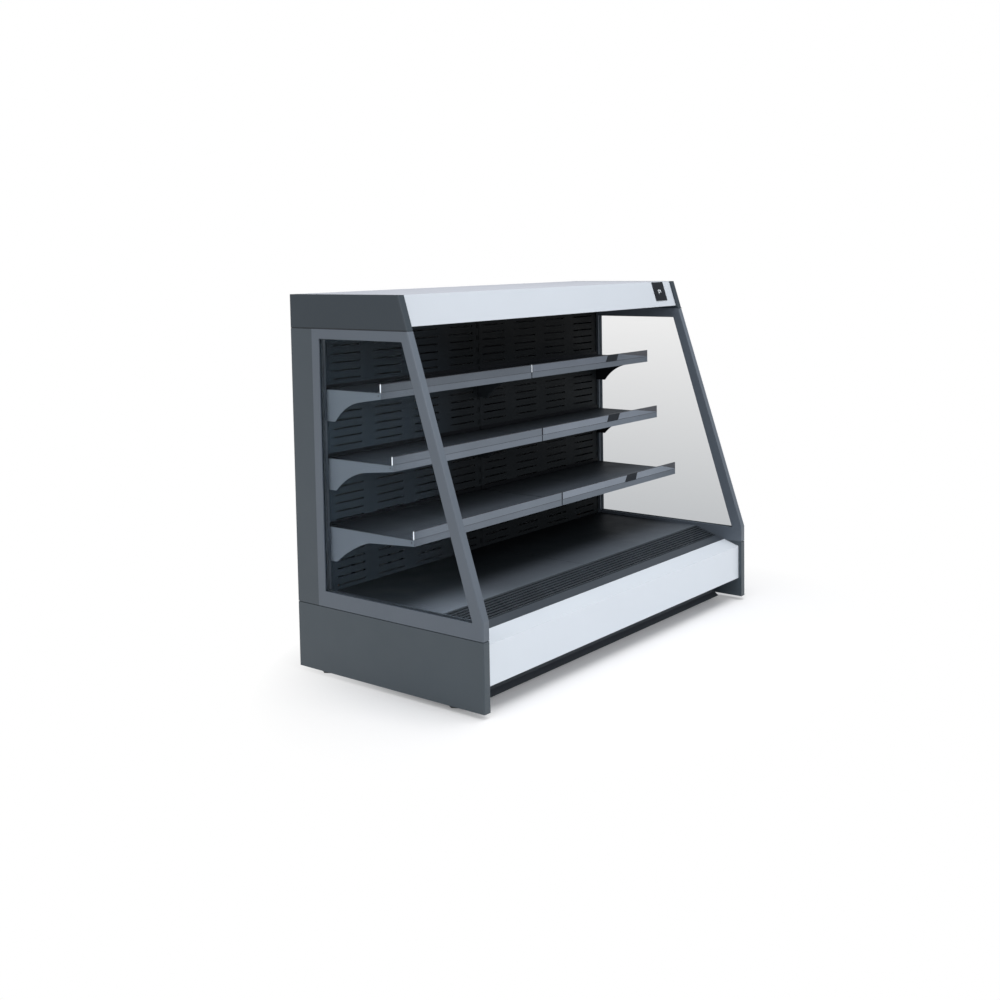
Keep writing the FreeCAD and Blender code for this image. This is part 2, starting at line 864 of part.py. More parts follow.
def make_base_frame():
    body = new_body("base_frame")
    front = kick_depth - s.sheet - s.seat_gap
    low, high = up(s.frame_bottom), up(s.frame_bottom + s.frame_tall)
    rail = s.frame_rail
    ring = rectangle(-fitted, back(front), fitted, back(s.frame_rear_depth))
    holes = []
    for side in SIDES.values():
        near, far = span(side, rail / 2, fitted - rail)
        holes.append(rectangle(near, back(front - rail), far, back(s.frame_rear_depth + rail)))
    add(body, "XY", [ring] + holes, low, high)
    # machine floor across the bottom of the frame
    add(body, "XY", [ring], low, low + s.machine_floor)
    # posts that carry the insulated back, the tub's well and the tub's front
    tops = [
        (s.back_post_depth, back_low - s.seat_gap),
        (s.well_post_depth, s.tub_well_floor - s.tub_foam - s.seat_gap),
        (front_post_depth, s.tub_floor_rear - s.tub_foam - s.seat_gap),
    ]
    for depth, top in tops:
        posts = []
        for middle in (rail / 2 - fitted, size(0), fitted - rail / 2):
            posts.append(rectangle(middle - rail / 2, back(depth) - rail / 2,
                                   middle + rail / 2, back(depth) + rail / 2))
        add(body, "XY", posts, high, up(top))
    sockets = [((place_x, back(depth)), s.foot_stem_radius + s.shaft_play)
               for place_x in (-foot_place, foot_place)
               for depth in (s.foot_rear_depth, foot_front_depth)]
    cut(body, "XY", sockets, low, low + s.foot_socket_depth)


def make_levelling_foot(name, side, depth):
    """Hexagonal pad, smooth stem that stands in for the thread, and the lock nut."""
    body = new_body("levelling_foot_" + name)
    add(body, "XY", [hexagon(s.foot_pad_flat)], size(0), s.foot_pad)
    add(body, "XY", [((0, 0), s.foot_stem_radius)], s.foot_pad, s.foot_stem_height)
    nut_top = up(s.frame_bottom) - s.seat_gap
    add(body, "XY", [hexagon(s.foot_nut_flat)], nut_top - s.foot_nut_height, nut_top)
    place(body, side * foot_place, back(depth), 0)


def make_insulated_tub():
    body = new_body("insulated_tub")
    under = s.seat_gap + s.rail_skin
    rear = s.back_foam + s.seat_gap
    outer_front = tub_front_inner + s.tub_front_wall
    low = s.tub_floor_rear - s.tub_foam
    step = s.tub_well_depth + s.tub_foam
    outline = side_view(
        (rear, s.tub_well_floor - s.tub_foam), (step, s.tub_well_floor - s.tub_foam), (step, low),
        (outer_front, low), (outer_front, slope_height(outer_front) - under),
        (tub_front_inner, slope_height(tub_front_inner) - under),
        (tub_front_inner, s.tub_floor_front), (s.tub_well_depth, s.tub_floor_rear),
        (s.tub_well_depth, s.tub_well_floor), (rear, s.tub_well_floor))
    add(body, "YZ", [outline], -fitted, fitted)
    middle = (drain_place, back(s.drain_depth))
    add(body, "XY", [(middle, s.drain_radius + s.drain_wall)], up(drain_low), up(s.tub_well_floor))
    cut(body, "XY", [(middle, s.drain_radius)], up(drain_low), up(s.tub_well_floor))
    cut_riser_holes(body, up(s.tub_well_floor - s.tub_foam), up(s.tub_well_floor))


def make_deck_support():
    body = new_body("deck_support")
    front = deck_front_depth + s.support_ahead
    rear = front - s.support_width
    low = support_height - s.sheet
    bar = side_view((rear, low), (front, low), (front, support_height), (rear, support_height))
    add(body, "YZ", [bar], -fitted, fitted)
    leg = side_view((rear, tub_floor_height(rear) + s.seat_gap),
                    (rear + s.sheet, tub_floor_height(rear + s.sheet) + s.seat_gap),
                    (rear + s.sheet, low), (rear, low))
    first = add(body, "YZ", [leg], -fitted, s.support_leg_width - fitted)
    pitch = (fitted * 2 - s.support_leg_width) / (s.support_leg_count - 1)
    repeat(body, first, ("X", pitch, s.support_leg_count))


def make_deck_pan(name, side):
    body = new_body("deck_pan_" + name)
    near, far = span(side, s.deck_joint / 2, inner - s.grille_end_play)
    low = up(support_height + s.seat_gap)
    high = up(s.deck_height)
    add(body, "XY", [rectangle(near, back(deck_front_depth), far, back(deck_rear_depth))], low, high)
    wall = s.sheet
    cut(body, "XY", [rectangle(near + wall, back(deck_front_depth) + wall,
                               far - wall, back(deck_rear_depth) - wall)], low, high - wall)


def make_intake_grille():
    """Seven long slots between blades that stand on a grid of cross ribs; it lifts out."""
    body = new_body("intake_grille")
    run = grille_front_depth - grille_rear_depth
    drop = slope_height(grille_rear_depth) - slope_height(grille_front_depth)
    length = root(run * run + drop * drop)
    half = inner - s.grille_end_play
    thick = s.grille_thickness
    add(body, "XY", [rectangle(-half, -length, half, size(0))], -thick, size(0))
    covered = s.grille_slot_pitch * (s.grille_slot_count - 1) + s.grille_slot_width
    margin = (length - covered) / 2
    end = half - s.grille_end_margin
    slot = rectangle(-end, -length + margin, end, -length + margin + s.grille_slot_width)
    first = cut(body, "XY", [slot], -s.grille_blade_depth, size(0))
    repeat(body, first, ("Y", s.grille_slot_pitch, s.grille_slot_count))
    rib = s.grille_cell_rib
    cell_pitch = (end * 2 + rib) / s.grille_cell_count
    cell = rectangle(-end, -length + margin, -end + cell_pitch - rib, -margin)
    below = cut(body, "XY", [cell], -thick, -s.grille_blade_depth)
    repeat(body, below, ("X", cell_pitch, s.grille_cell_count))
    place(body, 0, back(grille_rear_depth), up(slope_height(grille_rear_depth)),
          (1, 0, 0), slope_angle(drop, run))


def make_front_rail():
    body = new_body("front_rail")
    rear = rail_rear_depth
    front = rail_front_depth - s.seat_gap
    leg = rail_leg_depth
    leg_front = leg + s.rail_leg
    skin = s.rail_skin
    run = grille_front_depth - grille_rear_depth
    drop = slope_height(grille_rear_depth) - slope_height(grille_front_depth)
    under = s.grille_thickness * run / root(run * run + drop * drop)
    ledge = slope_height(grille_front_depth) - under - s.seat_gap
    outline = side_view(
        (rear, slope_height(rear)), (rear, slope_height(rear) - skin), (leg, slope_height(leg) - skin),
        (leg, ledge), (rail_ledge_depth, ledge), (rail_ledge_depth, ledge - s.rail_leg),
        (leg, ledge - s.rail_leg), (leg, rail_leg_low), (leg_front, rail_leg_low),
        (leg_front, slope_height(leg_front) - skin), (front, slope_height(front) - skin),
        (front, slope_height(front)))
    add(body, "YZ", [outline], -fitted, fitted)


def make_front_panel():
    body = new_body("front_panel")
    skin = s.sheet
    face = slope_low_depth
    top = rail_front_depth
    low = s.front_panel_low
    lip = face - s.front_panel_lip
    outline = side_view(
        (top, slope_height(top)), (face, slope_low_height), (face, low), (lip, low), (lip, low + skin),
        (face - skin, low + skin), (face - skin, slope_low_height - skin), (top, slope_height(top) - skin))
    add(body, "YZ", [outline], -fitted, fitted)


def make_kick_rail():
    body = new_body("kick_rail")
    face = kick_depth
    skin = s.sheet
    fold = s.kick_fold
    toe = s.kick_toe_height
    outline = side_view(
        (face, s.kick_top), (face, fold), (kick_toe_depth, toe), (kick_toe_depth - skin, toe - skin / 2),
        (face - skin, fold - skin / 2), (face - skin, s.kick_top))
    add(body, "YZ", [outline], -fitted, fitted)


# ---------------------------------------------------------------- back wall and machine space panels

back_low = s.tub_well_floor - s.tub_foam - s.seat_gap

def make_insulated_back():
    body = new_body("insulated_back")
    high = canopy_low_height - s.seat_gap
    add(body, "YZ", [side_view((0, back_low), (s.back_foam, back_low), (s.back_foam, high), (0, high))],
        -fitted, fitted)


def make_rear_louvre_panel():
    """Slotted panel behind the machine space, and beside it the service panel round the box."""
    body = new_body("rear_louvre_panel")
    low = up(s.rear_panel_low)
    high = up(back_low - s.seat_gap)
    joint = box_left - s.service_margin
    margin = s.box_window_margin
    window = rectangle(box_left + margin, box_low + margin,
                       box_left + s.box_width - margin, box_low + s.box_height - margin)
    faces = [rectangle(-fitted, low, joint - s.seat_gap, high), rectangle(joint, low, fitted, high), window]
    add(body, "XZ", faces, back(s.sheet), back(0))
    left = louvre_first_place
    bottom = up(s.louvre_bottom)
    slot = rectangle(left, bottom, left + s.louvre_width, bottom + s.louvre_height)
    first = cut(body, "XZ", [slot], back(s.sheet), back(0))
    repeat(body, first, ("X", louvre_column_pitch, s.louvre_columns),
           ("Z", s.louvre_row_pitch, s.louvre_rows))


def make_back_panel(name, side):
    """Perforated wall of one bay, with its two long edges folded back."""
    body = new_body("back_panel_" + name)
    near = s.upright_width / 2 + s.seat_gap
    far = fitted - s.upright_width - s.seat_gap
    near, far = span(side, near, far)
    front = back(s.back_panel_depth)
    rear = front + s.back_panel_flange
    wall = s.sheet
    outline = [(near, front), (far, front), (far, rear), (far - wall, rear), (far - wall, front + wall),
               (near + wall, front + wall), (near + wall, rear), (near, rear)]
    add(body, "XY", [outline], up(support_height + s.seat_gap), up(back_panel_top))
    covered = air_slot_column_pitch * (s.air_slot_columns - 1) + s.air_slot_width
    left = (near + far - covered) / 2
    low = up(air_slot_first) - s.air_slot_height / 2
    slot = rectangle(left, low, left + s.air_slot_width, low + s.air_slot_height)
    first = cut(body, "XZ", [slot], front, front + wall)
    repeat(body, first, ("X", air_slot_column_pitch, s.air_slot_columns),
           ("Z", s.air_slot_row_pitch, air_slot_rows))


upright_face = s.back_panel_depth - s.upright_recess
hook_columns = {
    "left": (s.hook_end_offset - inner, -s.hook_middle_offset),
    "right": (s.hook_middle_offset, inner - s.hook_end_offset),
}


def make_shelf_uprights():
    """Three channels, open to the rear, with a column of hook slots for each bay beside them."""
    body = new_body("shelf_uprights")
    front = back(upright_face)
    rear = front + s.upright_reach
    wall = s.sheet
    half = s.upright_width / 2
    outlines = []
    for middle in (half - fitted, size(0), fitted - half):
        near, far = middle - half, middle + half
        outlines.append([(near, front), (far, front), (far, rear), (far - wall, rear),
                         (far - wall, front + wall), (near + wall, front + wall),
                         (near + wall, rear), (near, rear)])
    add(body, "XY", outlines, up(support_height + s.seat_gap), up(back_panel_top))
    slots = []
    low = up(hook_slot_first)
    for columns in hook_columns.values():
        for middle in columns:
            slots.append(rectangle(middle - s.hook_slot_width / 2, low,
                                   middle + s.hook_slot_width / 2, low + s.hook_slot_height))
    first = cut(body, "XZ", slots, front, front + wall)
    repeat(body, first, ("Z", s.hook_slot_pitch, hook_slot_count))


# ---------------------------------------------------------------- shelves


def tray_height(step):
    """Height of a tray's top, from the step of the hook slots that carry it."""
    return hook_slot_first + step * s.hook_slot_pitch + s.tray_above_slot + s.seat_gap


LEVELS = {
    "upper": (tray_height(s.upper_shelf_step), s.upper_shelf_depth, s.upper_tail_drop, s.upper_tail_tip,
              s.upper_bend_place, s.upper_tail_radius),
    "middle": (tray_height(s.middle_shelf_step), s.middle_shelf_depth, s.middle_tail_drop, s.middle_tail_tip,
               s.middle_bend_place, s.middle_tail_radius),
    "lower": (tray_height(s.lower_shelf_step), s.lower_shelf_depth, s.lower_tail_drop, s.lower_tail_tip,
              s.lower_bend_place, s.lower_tail_radius),
}


def tray_span(side):
    return span(side, s.tray_joint / 2, inner - s.tray_end_play)


def make_shelf_tray(level, name, side):
    body = new_body(f"shelf_tray_{level}_{name}")
    top, front = LEVELS[level][:2]
    wall = s.sheet
    rear = s.back_panel_depth + s.tray_rear_play
    outline = side_view(
        (rear, top - wall), (rear, top + s.tray_upstand), (rear + wall, top + s.tray_upstand),
        (rear + wall, top), (front, top), (front, top - s.tray_lip), (front - wall, top - s.tray_lip),
        (front - wall, top - wall))
    add(body, "YZ", [outline], *tray_span(side))


def make_price_rail(level, name, side):
    body = new_body(f"price_rail_{level}_{name}")
    top, front = LEVELS[level][:2]
    low = top + s.seat_gap
    rear = front - s.rail_thickness
    foot = rear - s.rail_foot
    foot_top = low + s.rail_foot_thickness
    outline = side_view((front, low), (front, top + s.rail_height), (rear, top + s.rail_height),
                        (rear, foot_top), (foot, foot_top), (foot, low))
    add(body, "YZ", [outline], *tray_span(side))


def bracket_outline(level):
    top, front, drop, tip_place, bend_place, radius = LEVELS[level]
    tip = s.back_panel_depth + tip_place
    bend = s.back_panel_depth + bend_place
    high = top - s.sheet - s.seat_gap
    rear = upright_face + s.seat_gap
    sheet_behind = upright_face - s.sheet - s.seat_gap * 2
    hook_back = sheet_behind - s.hook_thickness
    corners = [(rear, high)]
    for lower in (0, 1):
        neck_low = top - s.tray_above_slot - s.hook_slot_pitch * lower
        neck_high = neck_low + s.hook_neck
        tongue = neck_low - s.hook_tongue
        corners += [(rear, neck_high), (hook_back, neck_high), (hook_back, tongue), (sheet_behind, tongue),
                    (sheet_behind, neck_low), (rear, neck_low)]
    nose = front - s.sheet - s.seat_gap
    corners += [(rear, top - drop), (tip, top - drop), Arc(bend, top - s.bend_drop, radius, -1),
                (nose, top - s.tray_lip), (nose, high)]
    return side_view(*corners)


def make_shelf_brackets():
    body = new_body("shelf_brackets")
    half = s.bracket_thickness / 2
    for level in LEVELS:
        for columns in hook_columns.values():
            for middle in columns:
                add(body, "YZ", [bracket_outline(level)], middle - half, middle + half)


# ---------------------------------------------------------------- canopy


def make_canopy_top():
    body = new_body("canopy_top")
    low = s.case_height - s.canopy_foam
    skin = s.fascia_skin + s.seat_gap
    add(body, "YZ", [side_view(
        (0, canopy_low_height), (s.back_foam, canopy_low_height), (s.back_foam, low),
        (fascia_depth(low) - skin, low), (fascia_depth(s.case_height) - skin, s.case_height),
        (0, s.case_height))], -fitted, fitted)


def make_canopy_fascia():
    body = new_body("canopy_fascia")
    low = fascia_low_height
    wall = s.sheet
    skin = s.fascia_skin
    lip = fascia_low_depth - s.fascia_lip
    top = s.case_height
    add(body, "YZ", [side_view(
        (fascia_top_depth, top), (fascia_low_depth, low), (lip, low), (lip, low + wall),
        (fascia_depth(low + wall) - skin, low + wall), (fascia_top_depth - skin, top))], -fitted, fitted)


def make_canopy_end_cap(name, side):
    body = new_body("canopy_end_cap_" + name)
    cap = add(body, "YZ", [side_view(
        (0, canopy_low_height), (canopy_low_depth, canopy_low_height),
        (canopy_top_depth, s.case_height), (0, s.case_height))], *span(side, inner, half_width))
    run = canopy_low_depth - canopy_top_depth
    rise = s.case_height - canopy_low_height

    def front(height):
        return (canopy_low_depth - (height - canopy_low_height) * run / rise).number

    round_edges(body, cap, s.edge_radius, front_edge_test(side, front))


def make_canopy_liner():
    """Dark ceiling of the display space: a folded sheet with a ledge for the honeycomb."""
    body = new_body("canopy_liner")
    wall = s.sheet
    low = back_panel_top + s.seat_gap
    front = liner_front_depth
    ledge = fascia_low_height
    rear = s.back_panel_depth - s.upright_reach
    add(body, "YZ", [side_view(
        (rear, low), (front - wall, low), (front - wall, ledge), (front + s.liner_ledge, ledge),
        (front + s.liner_ledge, ledge + wall), (front, ledge + wall), (front, low + wall),
        (rear, low + wall))], -fitted, fitted)


def make_air_honeycomb():
    """Discharge grid of the air curtain, two rows of cells between the liner and the fascia."""
    body = new_body("air_honeycomb")
    rear = liner_front_depth + s.seat_gap
    front = honeycomb_front
    low = up(fascia_low_height + s.sheet + s.seat_gap)
    high = up(honeycomb_top)
    add(body, "XY", [rectangle(-fitted, back(front), fitted, back(rear))], low, high)
    covered = honeycomb_pitch * honeycomb_columns - s.honeycomb_wall
    row_pitch = s.honeycomb_row_cell + s.honeycomb_wall
    row_covered = row_pitch * s.honeycomb_rows - s.honeycomb_wall
    left = -covered / 2
    near = back((rear + front + row_covered) / 2)
    cell = rectangle(left, near, left + s.honeycomb_cell, near + s.honeycomb_row_cell)
    first = cut(body, "XY", [cell], low, high)
    repeat(body, first, ("X", honeycomb_pitch, honeycomb_columns), ("Y", row_pitch, s.honeycomb_rows))


def make_lamp():
    body = new_body("canopy_lamp")
    half = s.lamp_width / 2
    high = back_panel_top
    low = high - s.lamp_drop
    shoulder = high - s.lamp_drop / 2
    outline = side_view((lamp_depth - half, high), (lamp_depth - half, shoulder),
                        Arc(lamp_depth + half, shoulder, s.lamp_radius, 1), (lamp_depth + half, high))
    add(body, "YZ", [outline], -lamp_length / 2, lamp_length / 2)


def make_display_plate():
    body = new_body("display_plate")
    near = s.seat_gap
    far = s.seat_gap + s.display_thickness
    low, high = display_low, display_top
    half = s.display_width / 2
    add(body, "YZ", [side_view(
        (fascia_depth(high) + near, high), (fascia_depth(low) + near, low),
        (fascia_depth(low) + far, low), (fascia_depth(high) + far, high))],
        display_place - half, display_place + half)


# ---------------------------------------------------------------- air system in the rear duct


def make_evaporator():
    """Finned block with a row of tube stubs at each of its two ends."""
    body = new_body("evaporator")
    rear = s.back_foam + s.seat_gap
    front = rear + s.evaporator_deep
    half = evaporator_length / 2
    low = up(evaporator_low)
    high = low + s.evaporator_tall
    add(body, "XZ", [rectangle(-half, low, half, high)], back(front), back(rear))
    pitch = evaporator_length / s.evaporator_fins
    left = s.evaporator_web / 2 - half
    groove = rectangle(left, low, left + pitch - s.evaporator_web, high)
    first = cut(body, "XZ", [groove], back(front), back(front) + s.evaporator_groove)
    repeat(body, first, ("X", pitch, s.evaporator_fins))
    pitch = s.evaporator_tall / s.tube_rows
    tubes = [((back(riser_depth), low + pitch / 2 + pitch * k), s.tube_radius)
             for k in range(int(s.tube_rows.number))]
    add(body, "YZ", tubes, half, half + s.tube_reach)
    add(body, "YZ", tubes, -half - s.tube_reach, -half)


fan_rise = support_height - s.sheet - fan_plate_low_height
fan_run = fan_plate_top_depth - fan_plate_low_depth
fan_tilt = -slope_angle(fan_rise, fan_run)
fan_centre = (back((fan_plate_low_depth + fan_plate_top_depth + s.fan_plate_slant) / 2),
              up(fan_plate_low_height + fan_rise / 2))


def fan_parts(x):
    """Outlines of a fan's seat about a middle x: bore, ring, four struts, motor and shaft."""
    bore = s.fan_ring_radius
    outer = bore + s.fan_ring_wall
    half = s.fan_strut / 2
    reach = bore + s.fan_ring_wall / 2
    cross = [(x - half, -reach), (x + half, -reach), (x + half, -half), (x + reach, -half),
             (x + reach, half), (x + half, half), (x + half, reach), (x - half, reach),
             (x - half, half), (x - reach, half), (x - reach, -half), (x - half, -half)]
    middle = (x, size(0))
    return {
        "bore": (middle, bore),
        "ring": [(middle, outer), (middle, bore)],
        "cross": cross,
        "motor": (middle, s.fan_motor_radius),
        "shaft": (middle, s.fan_shaft_radius),
    }


# Places along a fan's axis, counted from its plate against the air flow.
motor_low = -s.fan_ring_depth - s.fan_strut
motor_high = motor_low + s.fan_motor_height
rotor_low = motor_high + s.seat_gap
shaft_high = rotor_low + s.fan_hub_height / 2


def make_fan_plate():
    """Inclined plate between the tub and the rear duct, with the two evaporator fans' seats."""
    body = new_body("fan_plate")
    low_depth, low = fan_plate_low_depth, fan_plate_low_height
    top_depth, top = fan_plate_top_depth, support_height
    slant = s.fan_plate_slant
    under = top - s.sheet
    outline = side_view((low_depth, low), (low_depth + slant, low), (top_depth + slant, under),
                        (top_depth + slant, top), (fan_flange_depth, top), (fan_flange_depth, under),
                        (top_depth, under))
    add(body, "YZ", [outline], -fitted, fitted)
    seats = [fan_parts(side * s.fan_place) for side in SIDES.values()]
    zero = size(0)
    reach = s.sheet * 2
    cut_tilted(body, [seat["bore"] for seat in seats], -reach, reach, fan_tilt, fan_centre)
    rings = [loop for seat in seats for loop in seat["ring"]]
    add_tilted(body, rings, -s.fan_ring_depth, zero, fan_tilt, fan_centre)
    crosses = [seat["cross"] for seat in seats]
    add_tilted(body, crosses, motor_low, -s.fan_ring_depth, fan_tilt, fan_centre)
    add_tilted(body, [seat["motor"] for seat in seats], motor_low, motor_high, fan_tilt, fan_centre)
    add_tilted(body, [seat["shaft"] for seat in seats], motor_high, shaft_high, fan_tilt, fan_centre)
    cut_riser_holes(body, up(fan_plate_low_height), up(support_height - s.sheet))


def make_fan_rotor(name):
    """Hub with five flat, pitched blades, drawn about its own axis, Z, from the shaft's seat."""
    body = new_body(name)
    tall = s.fan_hub_height
    add(body, "XY", [((0, 0), s.fan_hub_radius)], size(0), tall)
    tip = s.fan_ring_radius - s.fan_tip_gap
    tip_plane = root(tip * tip - s.blade_tip_reach * s.blade_tip_reach)
    plan = [(s.blade_root_radius, -s.blade_root_reach), (tip_plane, -s.blade_tip_reach),
            (tip_plane, s.blade_tip_reach), (s.blade_root_radius, s.blade_root_reach)]
    half = s.blade_thickness / 2
    blade = add_tilted(body, [plan], -half, half, s.blade_pitch, (size(0), tall / 2))
    repeat_round(body, blade, s.fan_blades)
    bore = ((size(0), size(0)), s.fan_shaft_radius + s.shaft_play)
    cut(body, "XY", [bore], size(0), shaft_high - rotor_low + s.seat_gap)
    return body


def make_evaporator_fan(name, side):
    body = make_fan_rotor("evaporator_fan_" + name)
    cosine = Size(math.cos(math.radians(fan_tilt.number)), f"cos({fan_tilt.text})")
    sine = Size(math.sin(math.radians(fan_tilt.number)), f"sin({fan_tilt.text})")
    place(body, side * s.fan_place, fan_centre[0] - rotor_low * sine, fan_centre[1] + rotor_low * cosine,
          (1, 0, 0), fan_tilt)


# ---------------------------------------------------------------- machine space

box_low = up(box_bottom)


def make_compressor():
    """Horizontal hermetic compressor on two saddles, with its suction accumulator in front."""
    body = new_body("compressor")
    radius = s.compressor_radius
    half = s.compressor_length / 2
    waist = half - s.compressor_end_length
    nose = s.compressor_end_radius
    turn(body, [(half, 0), (half, nose), (waist, nose), (waist, radius), (-waist, radius),
                (-waist, nose), (-half, nose), (-half, 0)], "XZ", "H_Axis")
    foot = floor_height - s.compressor_height
    wide = s.saddle_width / 2
    thick = s.saddle_thickness / 2
    for side in SIDES.values():
        middle = side * s.saddle_place
        add(body, "YZ", [rectangle(-wide, foot, wide, -radius / 2)], middle - thick, middle + thick)
        long = s.saddle_foot_length / 2
        add(body, "YZ", [rectangle(-wide - s.saddle_foot, foot, wide + s.saddle_foot, foot + s.sheet)],
            middle - long, middle + long)
    bottle = -radius - s.accumulator_gap - s.accumulator_radius
    length = s.accumulator_length / 2
    add(body, "YZ", [((bottle, size(0)), s.accumulator_radius)], -length, length)
    strap = s.accumulator_strap / 2
    add(body, "YZ", [rectangle(bottle, -strap / 2, size(0), strap / 2)], -strap, strap)
    add(body, "XY", [rectangle(-s.terminal_width / 2, -s.terminal_depth / 2,
                               s.terminal_width / 2, s.terminal_depth / 2)],
        radius / 2, radius + s.terminal_rise)
    place(body, compressor_place, back(compressor_depth), up(s.compressor_height))


def make_condenser():
    body = new_body("condenser")
    near = condenser_left
    far = near + s.condenser_width
    low = up(floor_height)
    high = low + s.condenser_tall
    front = condenser_depth + s.condenser_deep
    add(body, "XZ", [rectangle(near, low, far, high)], back(front), back(condenser_depth))
    pitch = s.condenser_width / s.condenser_fins
    left = near + s.condenser_web / 2
    groove = rectangle(left, low + s.sheet, left + pitch - s.condenser_web, high - s.sheet)
    first = cut(body, "XZ", [groove], back(front), back(front) + s.condenser_groove)
    repeat(body, first, ("X", pitch, s.condenser_fins))


condenser_fan_place = condenser_left + s.condenser_width / 2
condenser_fan_height = up(floor_height) + s.condenser_tall / 2
shroud_rear = condenser_depth - s.seat_gap - s.shroud_deep


def make_condenser_fan_housing():
    """Shroud behind the condenser, drawn with the fan's axis along its own Z, then laid back."""
    body = new_body("condenser_fan_housing")
    wide = s.condenser_width / 2
    tall = s.condenser_tall / 2
    wall = s.sheet
    deep = s.shroud_deep
    outer = rectangle(-wide, -tall, wide, tall)
    add(body, "XY", [outer], -deep, size(0))
    cut(body, "XY", [rectangle(-wide + wall, -tall + wall, wide - wall, tall - wall)], -deep, -wall)
    seat = fan_parts(size(0))
    cut(body, "XY", [seat["bore"]], -wall, size(0))
    # the ring, struts and motor stand behind the shroud's wall, and the air leaves through them
    add(body, "XY", seat["ring"], size(0), s.fan_ring_depth)
    add(body, "XY", [seat["cross"]], s.fan_ring_depth, s.fan_ring_depth + s.fan_strut)
    motor_face = s.fan_ring_depth + s.fan_strut - s.fan_motor_height
    add(body, "XY", [seat["motor"]], motor_face, s.fan_ring_depth + s.fan_strut)
    add(body, "XY", [seat["shaft"]], motor_face - s.seat_gap - s.fan_hub_height / 2, motor_face)
    place(body, condenser_fan_place, back(shroud_rear), condenser_fan_height, (1, 0, 0), -QUARTER_TURN)


def make_condenser_fan():
    body = make_fan_rotor("condenser_fan")
    seat = shroud_rear - s.fan_ring_depth - s.fan_strut + s.fan_motor_height + s.seat_gap
    place(body, condenser_fan_place, back(seat), condenser_fan_height, (1, 0, 0), QUARTER_TURN)


def make_drip_tray():
    body = new_body("drip_tray")
    near = drip_left
    far = near + s.drip_width
    low = up(floor_height)
    high = low + s.drip_tall
    wall = s.sheet
    front, rear = back(s.drip_front), back(s.drip_rear)
    add(body, "XY", [rectangle(near, front, far, rear)], low, high)
    cut(body, "XY", [rectangle(near + wall, front + wall, far - wall, rear - wall)], low + wall, high)


def make_electrical_box():
    """Box behind the rear panel's window, with the switch's recess and the cable gland."""
    body = new_body("electrical_box")
    near = box_left
    far = near + s.box_width
    low = box_low
    high = low + s.box_height
    face = back(s.box_recess)
    add(body, "XZ", [rectangle(near, low, far, high)], face - s.box_depth, face)
    half = s.switch_width / 2
    tall = s.switch_tall / 2
    x, z = switch_place, up(switch_height)
    cut(body, "XZ", [rectangle(x - half, z - tall, x + half, z + tall)], face - s.switch_recess, face)
    pin = ((face - s.switch_pivot, z), s.switch_pin_radius + s.shaft_play)
    reach = half + s.switch_pin_reach + s.seat_gap
    cut(body, "YZ", [pin], x - reach, x + reach)
    gland = (gland_place, up(gland_height))
    add(body, "XZ", [(gland, s.gland_radius)], face, face + s.gland_reach)
    cut(body, "XZ", [(gland, s.gland_bore)], face - s.switch_recess, face + s.gland_reach)


def make_power_switch():
    """Rocker with two trunnions, drawn level about its pivot and tilted to its off position."""
    body = new_body("power_switch")
    half = s.switch_width / 2 - s.switch_play
    reach = s.switch_tall / 2 - s.switch_end_play
    out = s.switch_pivot
    lip = s.switch_lip
    outline = [(-out / 2, -reach / 2), (out / 2, -reach), (out / 2 + lip, -reach), (out, -reach / 2),
               (out - lip, size(0)), (out, reach / 2), (out / 2 + lip, reach), (out / 2, reach),
               (-out / 2, reach / 2)]
    add(body, "YZ", [outline], -half, half)
    pin = ((size(0), size(0)), s.switch_pin_radius)
    far = s.switch_width / 2 + s.switch_pin_reach
    add(body, "YZ", [pin], -far, far)
    place(body, switch_place, back(s.box_recess) - s.switch_pivot, up(switch_height),
          (1, 0, 0), s.switch_tilt)


def vector_of(place):
    return FreeCAD.Vector(*[size(value).number for value in place])


def bent_path(points, bend):
    """The same points with every corner laid out as short chords of the bend's arc."""
    path = [points[0]]
    for before, corner, after in zip(points, points[1:], points[2:]):
        into = (corner - before).normalize()
        away = (after - corner).normalize()
        angle = into.getAngle(away)
        first = corner - into * (bend * math.tan(angle / 2))
        middle = corner + (away - into).normalize() * (bend / math.cos(angle / 2))
        axis = into.cross(away)
        for step in range(BEND_CHORDS + 1):
            turned = FreeCAD.Rotation(axis, math.degrees(angle) * step / BEND_CHORDS)
            path.append(middle + turned.multVec(first - middle))
    return path + [points[-1]]


def bent_tube(points, radius, bend):
    """A bar of flat facets through points, bent at every corner and mitred at every chord."""
    path = bent_path([vector_of(point) for point in points], bend)
    ways = [(far - near).normalize() for near, far in zip(path, path[1:])]
    upright = FreeCAD.Vector(0, 0, 1)
    ring = []
    for side in range(TUBE_SIDES):
        round_z = FreeCAD.Rotation(upright, FULL_TURN * side / TUBE_SIDES)
        corner = round_z.multVec(FreeCAD.Vector(radius, 0, 0))
        ring.append(path[0] + FreeCAD.Rotation(upright, ways[0]).multVec(corner))
    faces = [Part.Face(Part.makePolygon(ring + ring[:1]))]
    for joint, way, next_way in zip(path[1:], ways, ways[1:] + ways[-1:]):
        normal = (way + next_way).normalize()
        end = [point + way * ((joint - point).dot(normal) / way.dot(normal)) for point in ring]
        for side in range(TUBE_SIDES):
            outline = [ring[side - 1], ring[side], end[side], end[side - 1], ring[side - 1]]
            faces.append(Part.Face(Part.makePolygon(outline)))
        ring = end
    faces.append(Part.Face(Part.makePolygon(ring + ring[:1])))
    shell = Part.makeShell(faces)
    shell.sewShape()
    return Part.makeSolid(shell)


